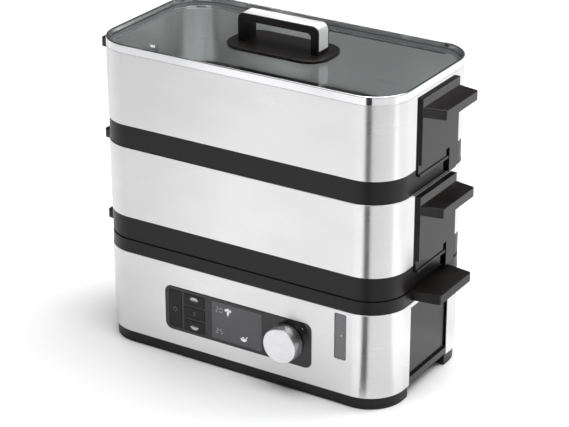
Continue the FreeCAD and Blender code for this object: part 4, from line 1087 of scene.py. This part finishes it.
def build_shade_card():
    """Paints shade into what the front's two ends reflect, and light into what its middle
    reflects.
    """
    finish = Finish("shade_card_look")
    finish.set(Roughness=0.6, Specular_IOR_Level=0.3)
    across = finish.along("X")
    left = finish.colours(finish.spread(across, 0.0, 1.0, *LEFT_TO_MIDDLE), LEFT_REFLECTION_SHADE,
                          MIDDLE_REFLECTION_LIGHT)
    right = finish.spread(across, 0.0, 1.0, *MIDDLE_TO_RIGHT)
    finish.drive(Base_Color=finish.colours(right, left, RIGHT_REFLECTION_SHADE))
    corners = ((-SHADE_LEFT_REACH, -SHADE_FRONT_REACH), (SHADE_RIGHT_REACH, -SHADE_FRONT_REACH),
               (SHADE_RIGHT_REACH, 0), (-SHADE_LEFT_REACH, 0))
    card = reflection_card("shade_card", corners, FLOOR_CARD_LIFT, finish.material)
    card.location = (0, FRONT_Y * METRES, 0)
    card.rotation_euler = (0, 0, -math.radians(CAMERA_AZIMUTH))


def build_rear_card():
    """Paints shade into the floor behind, as the right end and the back reflect it."""
    corners = ((-REAR_SIZE, REAR_START), (REAR_SIZE, REAR_START), (REAR_SIZE, REAR_SIZE),
               (-REAR_SIZE, REAR_SIZE))
    reflection_card("rear_card", corners, FLOOR_CARD_LIFT,
                    moulded("rear_card_look", REAR_REFLECTION_SHADE, CARD_ROUGHNESS))


def build_handle_cards():
    """A black card over each of the lower tier's handles paints shade into the steel above them:
    reflections skip the handles.
    """
    for side, way in (("right", 1), ("left", -1)):
        low, high = node_box("lower_tier_handle_" + side)
        near, far = way * (HALF_LENGTH + FIT_GAP), way * (HALF_LENGTH + HANDLE_CARD_WIDTH)
        corners = ((near, low.y), (far, low.y), (far, high.y), (near, high.y))
        reflection_card("handle_card_" + side, corners, high.z + HANDLE_CARD_LIFT,
                        moulded(f"handle_card_{side}_look", BLACK, CARD_ROUGHNESS))


def build_corner_card(name, start, end, colour):
    """A wedge on the floor that paints a reflection into the front right corner, between two
    azimuths.
    """
    corner = Vector((HALF_LENGTH - CORNER_RADIUS, FRONT_Y + CORNER_RADIUS))
    corners = []
    for azimuth, reach in ((start, WEDGE_NEAR), (end, WEDGE_NEAR), (end, WEDGE_FAR),
                           (start, WEDGE_FAR)):
        angle = math.radians(azimuth)
        corners.append(corner + Vector((math.sin(angle), -math.cos(angle))) * reach)
    reflection_card(name, corners, CORNER_CARD_LIFT,
                    moulded(name + "_look", colour, CARD_ROUGHNESS))


def build_light():
    """A white studio: a dim world that looks white, an overhead softbox and a rear one."""
    world = bpy.data.worlds.new("studio")
    world.use_nodes = True
    tree = world.node_tree
    backdrop = tree.nodes["Background"]
    ray = tree.nodes.new("ShaderNodeLightPath")
    strength = tree.nodes.new("ShaderNodeMapRange")
    tree.links.new(ray.outputs["Is Camera Ray"], strength.inputs["Value"])
    strength.inputs["To Min"].default_value = WORLD_LIGHT
    strength.inputs["To Max"].default_value = 1.0
    tree.links.new(strength.outputs["Result"], backdrop.inputs["Strength"])
    backdrop.inputs["Color"].default_value = (1.0, 1.0, 1.0, 1.0)
    bpy.context.scene.world = world
    soft_light("overhead", OVERHEAD_PLACE, (0, 0, 0), OVERHEAD_SIZE, OVERHEAD_POWER)
    rear = soft_light("rear_right", REAR_LIGHT_PLACE, REAR_LIGHT_TARGET, REAR_LIGHT_SIZE,
                      REAR_LIGHT_POWER)
    rear.visible_glossy = False
    bpy.context.scene.view_settings.view_transform = "Standard"


def build_camera():
    """A long lens on the front right, above the object."""
    azimuth, elevation = math.radians(CAMERA_AZIMUTH), math.radians(CAMERA_ELEVATION)
    away = Vector((math.sin(azimuth) * math.cos(elevation),
                   -math.cos(azimuth) * math.cos(elevation), math.sin(elevation)))
    data = bpy.data.cameras.new("camera")
    data.lens = CAMERA_LENS
    data.sensor_width = SENSOR_WIDTH
    camera = linked("camera", data)
    camera.location = CAMERA_TARGET + away * CAMERA_DISTANCE
    turn = (-away).to_track_quat("-Z", "Y").to_matrix()
    roll = Matrix.Rotation(math.radians(CAMERA_ROLL), 3, turn.col[2].copy())
    camera.rotation_euler = (roll @ turn).to_euler()
    bpy.context.scene.camera = camera


finish_frame()
build_base_steel()
build_base_mouldings()
build_window()
build_fascia()
build_lens("display_window", "display_lens", "display_glass", front_edge=0.15, back_edge=0.05)
build_keys()
build_display_symbols()
build_fascia_marks()
build_knob()
build_tray()
for tier_name in ("lower_tier", "upper_tier"):
    build_tier(tier_name)
build_lid()
build_floor()
build_shade_card()
build_rear_card()
build_handle_cards()
# Painted reflections in the front right corner: a dark streak, and a wedge of shade.
build_corner_card("painted_streak_card", *STREAK, STREAK_REFLECTION_SHADE)
build_corner_card("corner_shade_card", *CORNER_SHADE, CORNER_REFLECTION_SHADE)
build_light()
build_camera()

boxes = {"cad": cad_box, "visual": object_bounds()}
{name: [list(corner) for corner in box] for name, box in boxes.items()}
